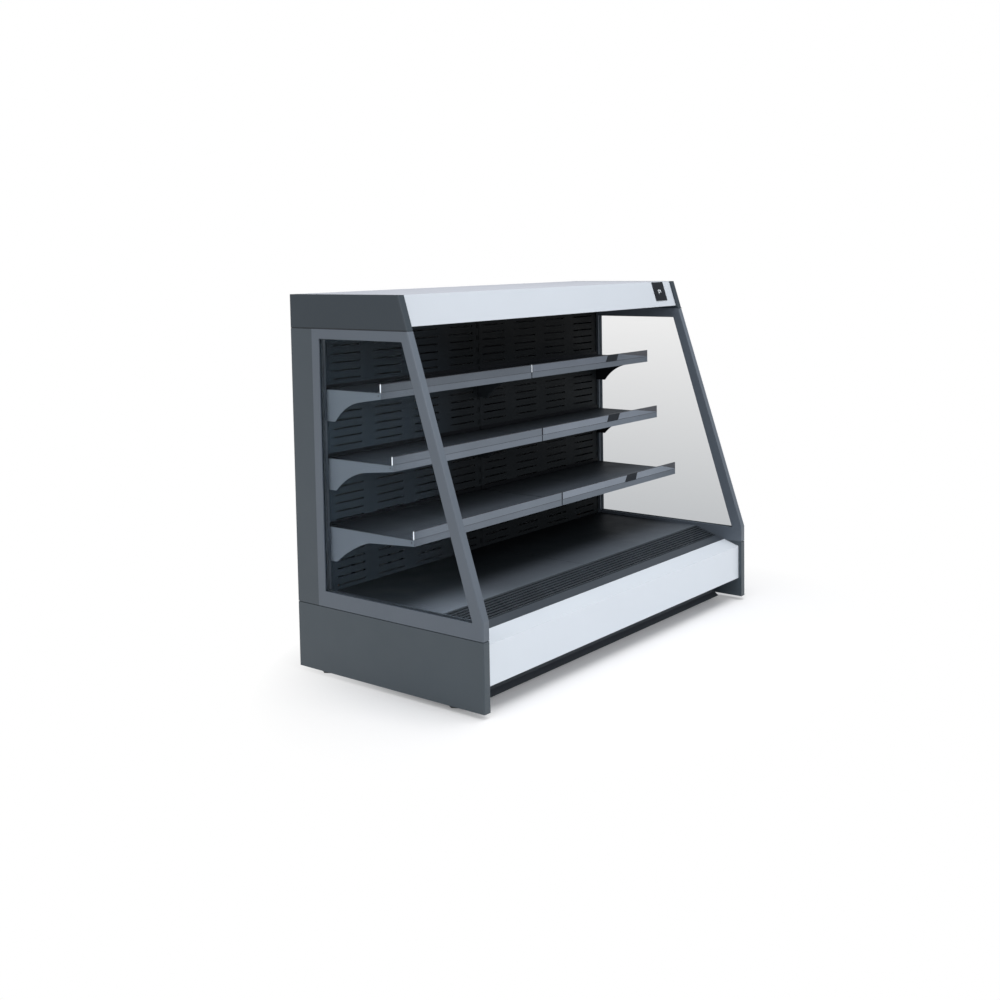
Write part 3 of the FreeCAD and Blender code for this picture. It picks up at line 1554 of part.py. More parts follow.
def cut_riser_holes(body, low, high):
    """Holes that let the suction line rise at the right and the liquid line at the left."""
    holes = [((riser_place, back(riser_depth)), s.pipe_radius + s.pipe_hole_gap),
             ((-riser_place, back(riser_depth)), s.liquid_radius + s.pipe_hole_gap)]
    cut(body, "XY", holes, low, high)


def make_refrigerant_pipes():
    """Discharge, liquid and suction lines, each one bent tube from unit to unit."""
    gap = s.seat_gap
    coil_low = up(evaporator_low) - gap
    bottle_depth = compressor_depth + s.compressor_radius + s.accumulator_gap + s.accumulator_radius
    bottle_end = compressor_place + s.accumulator_length / 2 + gap
    shell_end = compressor_place - s.compressor_length / 2 - gap
    condenser_right = condenser_left + s.condenser_width + gap
    condenser_middle = condenser_depth + s.condenser_deep / 2
    level = up(s.compressor_height)
    liquid_low = up(s.liquid_low)
    discharge = [
        (shell_end, back(compressor_depth), level),
        (shell_end - s.discharge_reach, back(compressor_depth), level),
        (shell_end - s.discharge_reach, back(condenser_middle), level),
        (condenser_right, back(condenser_middle), level),
    ]
    liquid = [
        (condenser_left - gap, back(condenser_middle), liquid_low),
        (-riser_place, back(condenser_middle), liquid_low),
        (-riser_place, back(riser_depth), liquid_low),
        (-riser_place, back(riser_depth), coil_low),
    ]
    suction = [
        (riser_place, back(riser_depth), coil_low),
        (riser_place, back(riser_depth), level),
        (riser_place, back(bottle_depth), level),
        (bottle_end, back(bottle_depth), level),
    ]
    bend = s.pipe_bend.number
    lines = ((discharge, s.pipe_radius), (liquid, s.liquid_radius), (suction, s.pipe_radius))
    feature = doc.addObject("Part::Feature", "refrigerant_pipes")
    feature.Label = "refrigerant_pipes"
    feature.Shape = Part.makeCompound([bent_tube(line, radius.number, bend) for line, radius in lines])
    feature.Placement = FreeCAD.Placement()
    parts.append(feature)


# ---------------------------------------------------------------- the whole fridge

make_base_frame()
for foot_name, foot_side, foot_depth in (
    ("front_left", -1, foot_front_depth),
    ("front_right", 1, foot_front_depth),
    ("rear_left", -1, s.foot_rear_depth),
    ("rear_right", 1, s.foot_rear_depth),
):
    make_levelling_foot(foot_name, foot_side, foot_depth)
make_insulated_tub()
make_insulated_back()
make_rear_louvre_panel()
make_front_rail()
make_front_panel()
make_kick_rail()
make_deck_support()
make_intake_grille()
make_shelf_uprights()
make_shelf_brackets()
make_glass_seals()
for side_name, side_sign in SIDES.items():
    make_base_panel(side_name, side_sign)
    make_side_frame(side_name, side_sign)
    make_side_glass(side_name, side_sign)
    make_rear_pillar(side_name, side_sign)
    make_canopy_end_cap(side_name, side_sign)
    make_back_panel(side_name, side_sign)
    make_deck_pan(side_name, side_sign)
    make_evaporator_fan(side_name, side_sign)
    for level_name in LEVELS:
        make_shelf_tray(level_name, side_name, side_sign)
        make_price_rail(level_name, side_name, side_sign)
make_canopy_top()
make_canopy_fascia()
make_canopy_liner()
make_air_honeycomb()
make_lamp()
make_display_plate()
make_evaporator()
make_fan_plate()
make_compressor()
make_condenser()
make_condenser_fan_housing()
make_condenser_fan()
make_drip_tray()
make_electrical_box()
make_power_switch()
make_refrigerant_pipes()

doc.recompute()
faults = [item.Name for item in doc.Objects if "Invalid" in item.State or "Error" in item.State]
faults += [part.Label for part in parts if part.Shape.isNull() or not part.Shape.isValid()]
if faults:
    raise RuntimeError("these objects failed: " + ", ".join(faults))
os.makedirs("parts", exist_ok=True)
for part in parts:
    part.Shape.exportStep(os.path.join("parts", part.Label + ".step"))
    print(part.Label, len(part.Shape.Solids), "solids", round(part.Shape.Volume), "mm3")
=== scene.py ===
import math

import bmesh
import bpy
from mathutils import Matrix, Vector


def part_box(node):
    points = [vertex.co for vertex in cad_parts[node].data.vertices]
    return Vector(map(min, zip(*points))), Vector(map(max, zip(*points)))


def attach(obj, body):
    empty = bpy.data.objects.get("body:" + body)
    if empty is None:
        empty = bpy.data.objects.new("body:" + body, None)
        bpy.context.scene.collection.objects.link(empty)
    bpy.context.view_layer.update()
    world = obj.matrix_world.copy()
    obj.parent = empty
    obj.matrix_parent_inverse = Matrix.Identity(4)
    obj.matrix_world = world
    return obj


# Looks of the open multideck display fridge: a material for every CAD piece, the small trim and
# screws that the CAD leaves out, a pale studio and the photograph's camera. Metres, in the part's
# own frame: X to the right along the front, Y to the back, Z up.

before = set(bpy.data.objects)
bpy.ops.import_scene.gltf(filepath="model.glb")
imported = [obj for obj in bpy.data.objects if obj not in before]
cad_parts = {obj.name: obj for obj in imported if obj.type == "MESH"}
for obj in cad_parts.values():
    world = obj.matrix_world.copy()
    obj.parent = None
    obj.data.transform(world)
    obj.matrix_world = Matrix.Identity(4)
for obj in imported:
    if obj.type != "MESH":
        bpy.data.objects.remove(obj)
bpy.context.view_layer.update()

MM = 0.001
WHITE = (1, 1, 1, 1)

# ---------------------------------------------------------------- colours (linear)

PAINT_SIDE = (0.094, 0.114, 0.141)
PAINT_BASE = (0.049, 0.065, 0.079)
PAINT_CAP = (0.024, 0.035, 0.046)
PAINT_PILLAR = (0.049, 0.064, 0.078)
PAINT_PANEL = (0.64, 0.69, 0.75)
# the front panel's white paint made darker for the fascia: painted shade
PAINT_FASCIA_SHADED = (0.475, 0.512, 0.560)
PAINT_TOP = (0.47, 0.49, 0.545)
PAINT_BACK = (0.10, 0.108, 0.116)
PAINT_RAIL = (0.045, 0.055, 0.068)
# near black: painted shade under the canopy
PAINT_LINER_SHADE = (0.012, 0.015, 0.019)
PAINT_KICK = (0.040, 0.048, 0.058)
PAINT_COMPRESSOR = (0.012, 0.012, 0.013)
PLASTIC_BLACK = (0.022, 0.024, 0.027)
PLASTIC_GRILLE = (0.030, 0.037, 0.045)
PLASTIC_STRIP = (0.042, 0.045, 0.057)
PLASTIC_HOLDER = (0.008, 0.012, 0.018)
PLASTIC_LAMP = (0.50, 0.51, 0.52)
PLASTIC_GLOSS = (0.007, 0.009, 0.013)
RUBBER_SEAL = (0.046, 0.060, 0.072)
# dark strip over the joint under each end cap: painted shade
SEAM_SHADE = (0.010, 0.013, 0.017)
ZINC = (0.52, 0.54, 0.56)
COPPER = (0.72, 0.35, 0.20)
SCREW_BRIGHT = (0.60, 0.61, 0.62)
SCREW_DARK = (0.06, 0.065, 0.07)
FIN_EVAPORATOR = (0.30, 0.32, 0.34)
FIN_CONDENSER = (0.40, 0.42, 0.44)
# distance between two fins
EVAPORATOR_PITCH = 6.8 * MM
CONDENSER_PITCH = 3.6 * MM
BRIGHT_WHITE = (0.85, 0.9, 0.95)
GLASS_MIRROR_LOW = (0.66, 0.84, 1.0, 1)
GLASS_MIRROR_HIGH = (0.70, 0.88, 1.0, 1)
# a pane's tint low down and high up, and the index that sets how much it mirrors
GLASS_LEFT = ((0.97, 0.97, 0.975), (0.98, 0.985, 0.985), 1.08)
# the right pane's darker tint low down is painted shade
GLASS_RIGHT = ((0.73, 0.74, 0.75), (0.92, 0.92, 0.92), 1.12)

# Painted light and shade along an axis: a place in metres, and the colour there.
# deck: painted shade, light at its mouth and dark towards the back
DECK_SHADE_TONES = ((-0.24, (0.100, 0.118, 0.139)), (-0.14, (0.064, 0.075, 0.090)),
              (0.00, (0.020, 0.025, 0.030)), (0.32, (0.005, 0.006, 0.008)))
# wall and uprights: painted light at the left end, painted shade further right
WALL_SHADE_TONES = ((-0.90, (0.056, 0.080, 0.104)), (-0.45, (0.045, 0.062, 0.081)),
              (-0.12, (0.017, 0.021, 0.025)), (0.90, (0.020, 0.0235, 0.026)))
# brackets: painted light at the left end, painted shade further right
BRACKET_LIGHT_TONES = ((-0.90, (0.175, 0.210, 0.250)), (-0.60, (0.05, 0.06, 0.07)),
                 (0.90, (0.012, 0.014, 0.017)))
# label strips: painted shade, darker higher up
LABEL_LEFT_SHADE_TONES = ((0.55, (0.158, 0.184, 0.219)), (1.15, (0.100, 0.116, 0.138)))
LABEL_RIGHT_SHADE_TONES = ((0.55, (0.215, 0.245, 0.290)), (1.15, (0.128, 0.148, 0.180)))
# How such painted light and shade grow or fade along a second axis: the axis, two places, and the
# factor at each.
# the deck is painted up to twice as light at its left end: painted light
DECK_SIDE_LIGHT = ("X", -0.93, -0.50, 2.0, 1.0)
# the wall is painted darker higher up, down to under half: painted shade
WALL_HEIGHT_SHADE = ("Z", 1.02, 1.22, 1.0, 0.45)
# A tray's painted light and shade: a pale lit lip, then a floor that grows dark towards the back.
# The first three places are counted from the tray's front edge.
TRAY_LIT_LIP = (0.125, 0.146, 0.175)
TRAY_NEAR = (0.074, 0.088, 0.108)
TRAY_MIDDLE = (0.046, 0.055, 0.066)
TRAY_SHADED_BACK = (0.006, 0.007, 0.009)
TRAY_PLACES = (0.004, 0.007, 0.26)
TRAY_BACK_PLACE = 0.32
# how much lighter each level's lip is: painted light
LIP_LIGHT_FACTOR = {"upper": 1.0, "middle": 1.12, "lower": 1.08}

# ---------------------------------------------------------------- materials

# the part of a noise's range that most of it lies in
NOISE_LOW, NOISE_HIGH = 0.3, 0.7
BEVEL_SAMPLES = 4
# scales are repeats per metre, depths of the relief and radii of the edges are metres
CLOUD_SCALE = 2.4
TONE_CLOUD_SCALE = 3.0
CLOUD_DETAIL = 4.0
TONE_CLOUD_LOW, TONE_CLOUD_HIGH = 0.93, 1.07
GLOSS_SCALE = 9.0
PEEL_SCALE, PEEL_DETAIL, PEEL_DEPTH = 950.0, 2.0, 0.3 * MM
TONE_GRAIN, TONE_EDGE, TONE_SHEEN = 0.10, 0.5 * MM, 0.12
MOULD_SCALE, MOULD_GLOSS_SCALE = 6.0, 40.0
SPARK_SCALE, SPARK_DEPTH = 1400.0, 0.2 * MM
SPANGLE_SCALE = 85.0
ZINC_SCALE, ZINC_RELIEF, ZINC_DEPTH, ZINC_EDGE = 300.0, 0.08, 0.3 * MM, 1.0 * MM
BRUSH_SCALE, BRUSH_DETAIL, BRUSH_ROUGHNESS = 30.0, 3.0, 0.6
BRUSH_RELIEF, BRUSH_DEPTH, BRUSH_EDGE = 0.08, 0.2 * MM, 0.6 * MM
# where on a fin's wave the dark gaps, painted shade, give way to bright faces
FIN_GAP_SHADE, FIN_FACE = 0.25, 0.6
FIN_GLOSS_SCALE, FIN_RELIEF, FIN_DEPTH = 50.0, 0.5, 0.8 * MM
GLASS_BOTTOM, GLASS_TOP = 0.35, 1.25
GLASS_TINT_SCALE, GLASS_GLOSS_SCALE, GLASS_WAVE_SCALE = 20.0, 14.0, 1.5
GLASS_WAVE_RELIEF, GLASS_WAVE_DEPTH = 0.01, 0.1 * MM
RUBBER_SCALE, RUBBER_GLOSS_SCALE, RUBBER_PORE_SCALE = 60.0, 200.0, 700.0
RUBBER_RELIEF, RUBBER_DEPTH = 0.15, 0.3 * MM
# the white glows: painted light
WHITE_SCALE, WHITE_GLOSS_SCALE, WHITE_PORE_SCALE = 80.0, 60.0, 500.0
WHITE_RELIEF, WHITE_DEPTH, PAINTED_GLOW = 0.05, 0.2 * MM, 0.4


class Nodes:
    """A material's node tree, with short calls for the nodes that this scene uses."""

    def __init__(self, name):
        self.material = bpy.data.materials.new(name)
        self.material.use_nodes = True
        self.tree = self.material.node_tree
        self.shader = self.tree.nodes["Principled BSDF"]
        self.output = self.tree.nodes["Material Output"]
        self.place = self.add("ShaderNodeTexCoord").outputs["Object"]

    def add(self, kind, **inputs):
        """A new node. An underscore in an input's name stands for a space."""
        node = self.tree.nodes.new(kind)
        for name, value in inputs.items():
            self.put(node.inputs[name.replace("_", " ")], value)
        return node

    def put(self, socket, value):
        """Link a socket to another node's output, or give it a plain value."""
        if isinstance(value, bpy.types.NodeSocket):
            self.tree.links.new(value, socket)
        else:
            socket.default_value = value

    def finish(self, **inputs):
        """Set inputs of the material's shader, and return the material."""
        for name, value in inputs.items():
            self.put(self.shader.inputs[name.replace("_", " ")], value)
        return self.material

    def along(self, axis):
        """The place along one of the object's axes."""
        return self.add("ShaderNodeSeparateXYZ", Vector=self.place).outputs[axis]

    def math(self, operation, first, second=None):
        node = self.add("ShaderNodeMath", Value=first)
        node.operation = operation
        if second is not None:
            self.put(node.inputs[1], second)
        return node.outputs[0]

    def scaled(self, colour, factor):
        node = self.add("ShaderNodeVectorMath", Vector=colour)
        node.operation = "SCALE"
        self.put(node.inputs["Scale"], factor)
        return node.outputs[0]

    def noise(self, scale, detail=3.0, roughness=0.5, stretch=None):
        place = self.place
        if stretch:
            place = self.add("ShaderNodeMapping", Vector=place, Scale=stretch).outputs[0]
        return self.add("ShaderNodeTexNoise", Vector=place, Scale=scale, Detail=detail,
                        Roughness=roughness).outputs["Fac"]

    def ramp(self, value, *stops):
        """A colour ramp: each stop is a place and a colour, in rising order."""
        node = self.add("ShaderNodeValToRGB", Fac=value)
        points = node.color_ramp.elements
        points[0].position, points[-1].position = stops[0][0], stops[-1][0]
        for place, _ in stops[1:-1]:
            points.new(place)
        for point, (_, colour) in zip(points, stops):
            point.color = colour
        return node.outputs["Color"]

    def levels(self, value, low, high, out_low, out_high):
        """A value stretched from one range to another."""
        node = self.add("ShaderNodeMapRange", Value=value)
        limits = {"From Min": low, "From Max": high, "To Min": out_low, "To Max": out_high}
        for name, number in limits.items():
            node.inputs[name].default_value = number
        return node.outputs["Result"]

    def mottle(self, noise, colour, low, high):
        """A colour that wanders between two factors of itself with a noise."""
        return self.ramp(noise, (NOISE_LOW, shade(colour, low)), (NOISE_HIGH, shade(colour, high)))

    def vary(self, noise, low, high):
        """A number that wanders between two values with a noise."""
        return self.levels(noise, NOISE_LOW, NOISE_HIGH, low, high)

    def bump(self, height, strength, distance, edge=0.0):
        """Fine relief, and edges that look rounded by a radius."""
        node = self.add("ShaderNodeBump", Height=height, Strength=strength, Distance=distance)
        if edge:
            rounded = self.add("ShaderNodeBevel", Radius=edge)
            rounded.samples = BEVEL_SAMPLES
            self.put(node.inputs["Normal"], rounded.outputs["Normal"])
        return node.outputs["Normal"]

    def mix(self, share, first, second):
        """Two shaders mixed by a share, as the material's surface."""
        node = self.add("ShaderNodeMixShader", Fac=share)
        self.put(node.inputs[1], first)
        self.put(node.inputs[2], second)
        self.put(self.output.inputs["Surface"], node.outputs[0])


def shade(colour, factor):
    """A colour times a factor, with full alpha."""
    return tuple(min(1.0, channel * factor) for channel in colour) + (1.0,)


def coat(n, colour, roughness, grain, edge, sheen):
    """What all powder-coated sheet has: a fine orange peel and slightly uneven gloss."""
    return n.finish(
        Base_Color=colour,
        Roughness=n.vary(n.noise(GLOSS_SCALE), roughness - 0.05, roughness + 0.06),
        Specular_IOR_Level=sheen,
        Normal=n.bump(n.noise(PEEL_SCALE, PEEL_DETAIL), grain, PEEL_DEPTH, edge))


def painted(name, colour, roughness=0.42, grain=0.10, edge=0.6 * MM, spread=0.05, sheen=0.42):
    """Powder-coated sheet of one colour, faintly cloudy."""
    n = Nodes(name)
    clouds = n.mottle(n.noise(CLOUD_SCALE, CLOUD_DETAIL), colour, 1 - spread, 1 + spread)
    return coat(n, clouds, roughness, grain, edge, sheen)


def toned(name, axis, stops, roughness=0.45, fade=None):
    """Powder-coated sheet with painted light and shade that change along an axis, as from a bay's
    mouth to its back.
    """
    n = Nodes(name)
    low, high = stops[0][0], stops[-1][0]
    shares = [((place - low) / (high - low), colour + (1.0,)) for place, colour in stops]
    # the tone is painted light and shade, placed by the ramp along the axis
    tone = n.ramp(n.levels(n.along(axis), low, high, 0.0, 1.0), *shares)
    clouds = n.vary(n.noise(TONE_CLOUD_SCALE, CLOUD_DETAIL), TONE_CLOUD_LOW, TONE_CLOUD_HIGH)
    # a second axis scales the painted light and shade as well as the cloudiness
    if fade:
        across, *limits = fade
        clouds = n.math("MULTIPLY", clouds, n.levels(n.along(across), *limits))
    return coat(n, n.scaled(tone, clouds), roughness, TONE_GRAIN, TONE_EDGE, TONE_SHEEN)


def plastic(name, colour, roughness=0.5, grain=0.12, edge=0.6 * MM, sheen=0.5):
    """Moulded plastic with a fine spark-eroded grain."""
    n = Nodes(name)
    cells = n.add("ShaderNodeTexVoronoi", Vector=n.place, Scale=SPARK_SCALE).outputs["Distance"]
    return n.finish(
        Base_Color=n.mottle(n.noise(MOULD_SCALE), colour, 0.9, 1.12),
        Roughness=n.vary(n.noise(MOULD_GLOSS_SCALE), roughness - 0.05, roughness + 0.07),
        Specular_IOR_Level=sheen,
        Normal=n.bump(cells, grain, SPARK_DEPTH, edge))


def galvanised(name, colour, roughness=0.38):
    """Zinc-coated sheet with its crystals, called spangle."""
    n = Nodes(name)
    spangle = n.add("ShaderNodeTexVoronoi", Vector=n.place, Scale=SPANGLE_SCALE)
    tone = n.add("ShaderNodeSeparateColor", Color=spangle.outputs["Color"]).outputs[0]
    return n.finish(
        Base_Color=n.ramp(tone, (0.0, shade(colour, 0.82)), (1.0, shade(colour, 1.15))),
        Roughness=n.levels(tone, 0.0, 1.0, roughness - 0.08, roughness + 0.12),
        Metallic=0.9,
        Normal=n.bump(n.noise(ZINC_SCALE), ZINC_RELIEF, ZINC_DEPTH, ZINC_EDGE))


def polished_metal(name, colour, roughness, brush=(2.0, 2.0, 400.0)):
    """Drawn or rolled metal with fine lines along one direction."""
    n = Nodes(name)
    lines = n.noise(BRUSH_SCALE, BRUSH_DETAIL, BRUSH_ROUGHNESS, brush)
    return n.finish(
        Base_Color=n.mottle(lines, colour, 0.85, 1.1),
        Roughness=n.vary(lines, roughness - 0.06, roughness + 0.1),
        Metallic=1.0,
        Normal=n.bump(lines, BRUSH_RELIEF, BRUSH_DEPTH, BRUSH_EDGE))


def finned(name, colour, pitch):
    """Aluminium fins, too thin to model: the gaps across the width of the block are fine dark
    stripes of painted shade.
    """
    n = Nodes(name)
    wave = n.math("SINE", n.math("MULTIPLY", n.along("X"), 2 * math.pi / pitch))
    return n.finish(
        Base_Color=n.ramp(n.levels(wave, -1, 1, 0, 1), (FIN_GAP_SHADE, shade(colour, 0.25)),
                          (FIN_FACE, shade(colour, 1.0))),
        Roughness=n.vary(n.noise(FIN_GLOSS_SCALE), 0.3, 0.45),
        Metallic=0.9,
        Normal=n.bump(wave, FIN_RELIEF, FIN_DEPTH))


def clear_glass(name, low_tint_and_shade, high_tint, index):
    """Thin toughened pane: it tints what is behind it, darker low down as painted shade, and
    mirrors at a slant.
    """
    n = Nodes(name)
    height = n.levels(n.along("Z"), GLASS_BOTTOM, GLASS_TOP, 0, 1)
    tint = n.ramp(height, (0.0, low_tint_and_shade + (1,)), (1.0, high_tint + (1,)))
    through = n.add("ShaderNodeBsdfTransparent", Color=tint)
    facing = n.add("ShaderNodeFresnel", IOR=index)
    n.mix(facing.outputs[0], through.outputs[0], n.shader.outputs[0])
    return n.finish(
        Base_Color=n.ramp(n.noise(GLASS_TINT_SCALE), (NOISE_LOW, GLASS_MIRROR_LOW),
                          (NOISE_HIGH, GLASS_MIRROR_HIGH)),
        Roughness=n.levels(n.noise(GLASS_GLOSS_SCALE), 0.4, 0.8, 0.03, 0.06),
        Metallic=1.0,
        Normal=n.bump(n.noise(GLASS_WAVE_SCALE, 1.0), GLASS_WAVE_RELIEF, GLASS_WAVE_DEPTH))


def rubber(name, colour):
    """Matt rubber, finely rough."""
    n = Nodes(name)
    return n.finish(
        Base_Color=n.mottle(n.noise(RUBBER_SCALE), colour, 0.8, 1.5),
        Roughness=n.vary(n.noise(RUBBER_GLOSS_SCALE), 0.6, 0.8),
        Normal=n.bump(n.noise(RUBBER_PORE_SCALE), RUBBER_RELIEF, RUBBER_DEPTH))


def glowing_white(name):
    """White for print and acrylic, with a glow that keeps it bright in the shade of the canopy:
    painted light.
    """
    n = Nodes(name)
    return n.finish(
        Base_Color=n.mottle(n.noise(WHITE_SCALE), BRIGHT_WHITE, 0.94, 1.04),
        Roughness=n.vary(n.noise(WHITE_GLOSS_SCALE), 0.3, 0.45),
        Emission_Color=shade(BRIGHT_WHITE, 1.0),
        Emission_Strength=PAINTED_GLOW,
        Normal=n.bump(n.noise(WHITE_PORE_SCALE), WHITE_RELIEF, WHITE_DEPTH))


def tray_shade_tones(level):
    """A tray's painted light and shade from its front edge to its back."""
    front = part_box(f"shelf_tray_{level}_left")[0].y
    lip = tuple(channel * LIP_LIGHT_FACTOR[level] for channel in TRAY_LIT_LIP)
    lip_end, inner, middle = (front + place for place in TRAY_PLACES)
    return ((front, lip), (lip_end, lip), (inner, TRAY_NEAR), (middle, TRAY_MIDDLE),
            (TRAY_BACK_PLACE, TRAY_SHADED_BACK))


def shaded_tray_paint(level):
    return toned(f"{level}_shelf_painted_shade", "Y", tray_shade_tones(level))


MATERIALS = {
    "side": painted("side_paint", PAINT_SIDE),
    "base": painted("base_paint", PAINT_BASE),
    "cap": painted("cap_paint", PAINT_CAP),
    "pillar": painted("pillar_paint", PAINT_PILLAR),
    "fascia": painted("fascia_painted_shade", PAINT_FASCIA_SHADED, roughness=0.35, grain=0.06, spread=0.015),
    "panel": painted("white_paint", PAINT_PANEL, roughness=0.35, grain=0.06, edge=1.2 * MM,
                     spread=0.015),
    "top": painted("pale_sheet", PAINT_TOP, roughness=0.45, grain=0.08, edge=1.2 * MM,
                   spread=0.03),
    "back": painted("back_sheet", PAINT_BACK, roughness=0.45, grain=0.08, edge=1.2 * MM),
    "rail": painted("front_rail_paint", PAINT_RAIL),
    "liner": painted("liner_painted_shade", PAINT_LINER_SHADE, roughness=0.55, sheen=0.15),
    "kick": painted("kick_paint", PAINT_KICK, roughness=0.45),
    "compressor": painted("compressor_paint", PAINT_COMPRESSOR, roughness=0.25, grain=0.2,
                          edge=1.0 * MM),
    # wall to label strips: painted light and shade placed along an axis
    "wall": toned("wall_painted_shade", "X", WALL_SHADE_TONES, roughness=0.6, fade=WALL_HEIGHT_SHADE),
    "deck": toned("deck_painted_shade", "Y", DECK_SHADE_TONES, fade=DECK_SIDE_LIGHT),
    "bracket": toned("bracket_painted_light", "X", BRACKET_LIGHT_TONES),
    "tray_upper": shaded_tray_paint("upper"),
    "tray_middle": shaded_tray_paint("middle"),
    "tray_lower": shaded_tray_paint("lower"),
    "label_left": toned("left_label_strip", "Z", LABEL_LEFT_SHADE_TONES),
    "label_right": toned("right_label_strip", "Z", LABEL_RIGHT_SHADE_TONES),
    "black": plastic("black_plastic", PLASTIC_BLACK),
    "grille": plastic("grille_plastic", PLASTIC_GRILLE, grain=0.03, edge=0.0, sheen=0.2),
    "strip": plastic("price_strip", PLASTIC_STRIP, roughness=0.22, grain=0.03),
    "holder": plastic("tag_plastic", PLASTIC_HOLDER, roughness=0.40, grain=0.05, sheen=0.2),
    "lamp": plastic("lamp_diffuser", PLASTIC_LAMP, roughness=0.35, grain=0.03),
    "gloss": plastic("gloss_black", PLASTIC_GLOSS, roughness=0.30, grain=0.02, edge=0.5 * MM,
                     sheen=0.2),
    "zinc": galvanised("galvanised", ZINC),
    "copper": polished_metal("copper_tube", COPPER, roughness=0.25, brush=(300.0, 2.0, 2.0)),
    "bright_screw": polished_metal("zinc_screw", SCREW_BRIGHT, roughness=0.3),
    "dark_screw": polished_metal("dark_screw", SCREW_DARK, roughness=0.35),
    "evaporator": finned("evaporator_fins", FIN_EVAPORATOR, EVAPORATOR_PITCH),
    "condenser": finned("condenser_fins", FIN_CONDENSER, CONDENSER_PITCH),
    "glass_left": clear_glass("left_pane_glass", *GLASS_LEFT),
    "glass_right": clear_glass("right_pane_glass", *GLASS_RIGHT),
    "seal": rubber("seal_rubber", RUBBER_SEAL),
    "seam": rubber("seam_painted_shade", SEAM_SHADE),
    # print and rail ends glow: painted light
    "print": glowing_white("white_print_painted_glow"),
    "rail_end": glowing_white("rail_end_painted_highlight"),
}

NODE_FINISH = {
    "base_panel": "base",
    "side_frame": "side",
    "rear_pillar": "pillar",
    "canopy_end_cap": "cap",
    "canopy_fascia": "fascia",
    "front_panel": "panel",
    "canopy_top": "top",
    "insulated_back": "back",
    "insulated_tub": "top",
    "canopy_liner": "liner",
    "canopy_lamp": "lamp",
    "back_panel": "wall",
    "shelf_uprights": "wall",
    "shelf_brackets": "bracket",
    "shelf_tray_upper": "tray_upper",
    "shelf_tray_middle": "tray_middle",
    "shelf_tray_lower": "tray_lower",
    "price_rail": "strip",
    "deck_pan": "deck",
    "deck_support": "zinc",
    "intake_grille": "grille",
    "front_rail": "rail",
    "kick_rail": "kick",
    "air_honeycomb": "black",
    "display_plate": "gloss",
    "side_glass_left": "glass_left",
    "side_glass_right": "glass_right",
    "glass_seals": "seal",
    "base_frame": "zinc",
    "rear_louvre_panel": "zinc",
    "fan_plate": "zinc",
    "condenser_fan_housing": "zinc",
    "evaporator_fan": "black",
    "condenser_fan": "black",
    "evaporator": "evaporator",
    "condenser": "condenser",
    "compressor": "compressor",
    "refrigerant_pipes": "copper",
    "electrical_box": "black",
    "power_switch": "gloss",
    "drip_tray": "black",
    "levelling_foot": "black",
}


def finish_for(node):
    """The longest name in NODE_FINISH that the node's name starts with gives its material."""
    known = [name for name in NODE_FINISH if node.startswith(name)]
    return MATERIALS[NODE_FINISH[max(known, key=len)]]


for node_name, node_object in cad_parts.items():
    for material_slot in node_object.material_slots:
        material_slot.material = finish_for(node_name)

# ---------------------------------------------------------------- small pieces

LEFT, RIGHT, FRONT, BACK, UP = (-1, 0, 0), (1, 0, 0), (0, -1, 0), (0, 1, 0), (0, 0, 1)


def new_piece(name, shape, place, material, body):
    """A piece from a bmesh, moved by a matrix, that rides on a body."""
    bmesh.ops.transform(shape, matrix=place, verts=shape.verts)
    mesh = bpy.data.meshes.new(name)
    shape.to_mesh(mesh)
    shape.free()
    mesh.materials.append(MATERIALS[material])
    piece = bpy.data.objects.new(name, mesh)
    bpy.context.collection.objects.link(piece)
    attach(piece, body)


def basis(origin, u, v):
    """The matrix that takes a plate's X to u and its Y to v, from an origin."""
    u, v = Vector(u).normalized(), Vector(v).normalized()
    matrix = Matrix((u, v, u.cross(v))).transposed().to_4x4()
    matrix.translation = Vector(origin)
    return matrix


def joined(sections):
    """A closed bmesh through rings of points with as many points each, and a flat face at its ends.

    The faces are made one by one, so that their order is the same each run.
    """
    shape = bmesh.new()
    rings = [[shape.verts.new(point) for point in section] for section in sections]
    for lower, upper in zip(rings, rings[1:]):
        for step in range(len(lower)):
            shape.faces.new([lower[step - 1], lower[step], upper[step], upper[step - 1]])
    shape.faces.new(rings[-1])
    shape.faces.new(list(reversed(rings[0])))
    bmesh.ops.recalc_face_normals(shape, faces=shape.faces)
    return shape


def plate(name, outline, thickness, place, material, body, bevel=0.0):
    """A plate with an outline in its own XY, raised by thickness, with its edges bevelled."""
    shape = joined([[(u, v, height) for u, v in outline] for height in (0, thickness)])
    if bevel:
        bmesh.ops.bevel(shape, geom=list(shape.edges), offset=bevel, segments=2, affect="EDGES")
    new_piece(name, shape, place, material, body)


def rectangle(left, low, right, high):
    return [(left, low), (right, low), (right, high), (left, high)]


# dark clip-on label holders on the right bay's rails: x of the corners, top left and right, then
# low right and left
HOLDERS = {
    "upper": (568 * MM, 654 * MM, 638 * MM, 549 * MM),
    "middle": (495 * MM, 586 * MM, 567 * MM, 480 * MM),
    "lower": (490 * MM, 574 * MM, 561 * MM, 471 * MM),
}
HOLDER_THICKNESS = 1.2 * MM
HOLDER_BEVEL = 0.4 * MM


def add_label_holders():
    for level, (top_left, top_right, low_right, low_left) in HOLDERS.items():
        low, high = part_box(f"price_rail_{level}_right")
        tall = high.z - low.z
        outline = [(low_left, 0), (low_right, 0), (top_right, tall), (top_left, tall)]
        plate(f"label_holder_{level}", outline, HOLDER_THICKNESS,
              basis((0, low.y, low.z), RIGHT, UP), "holder", f"shelf_{level}_right",
              HOLDER_BEVEL)


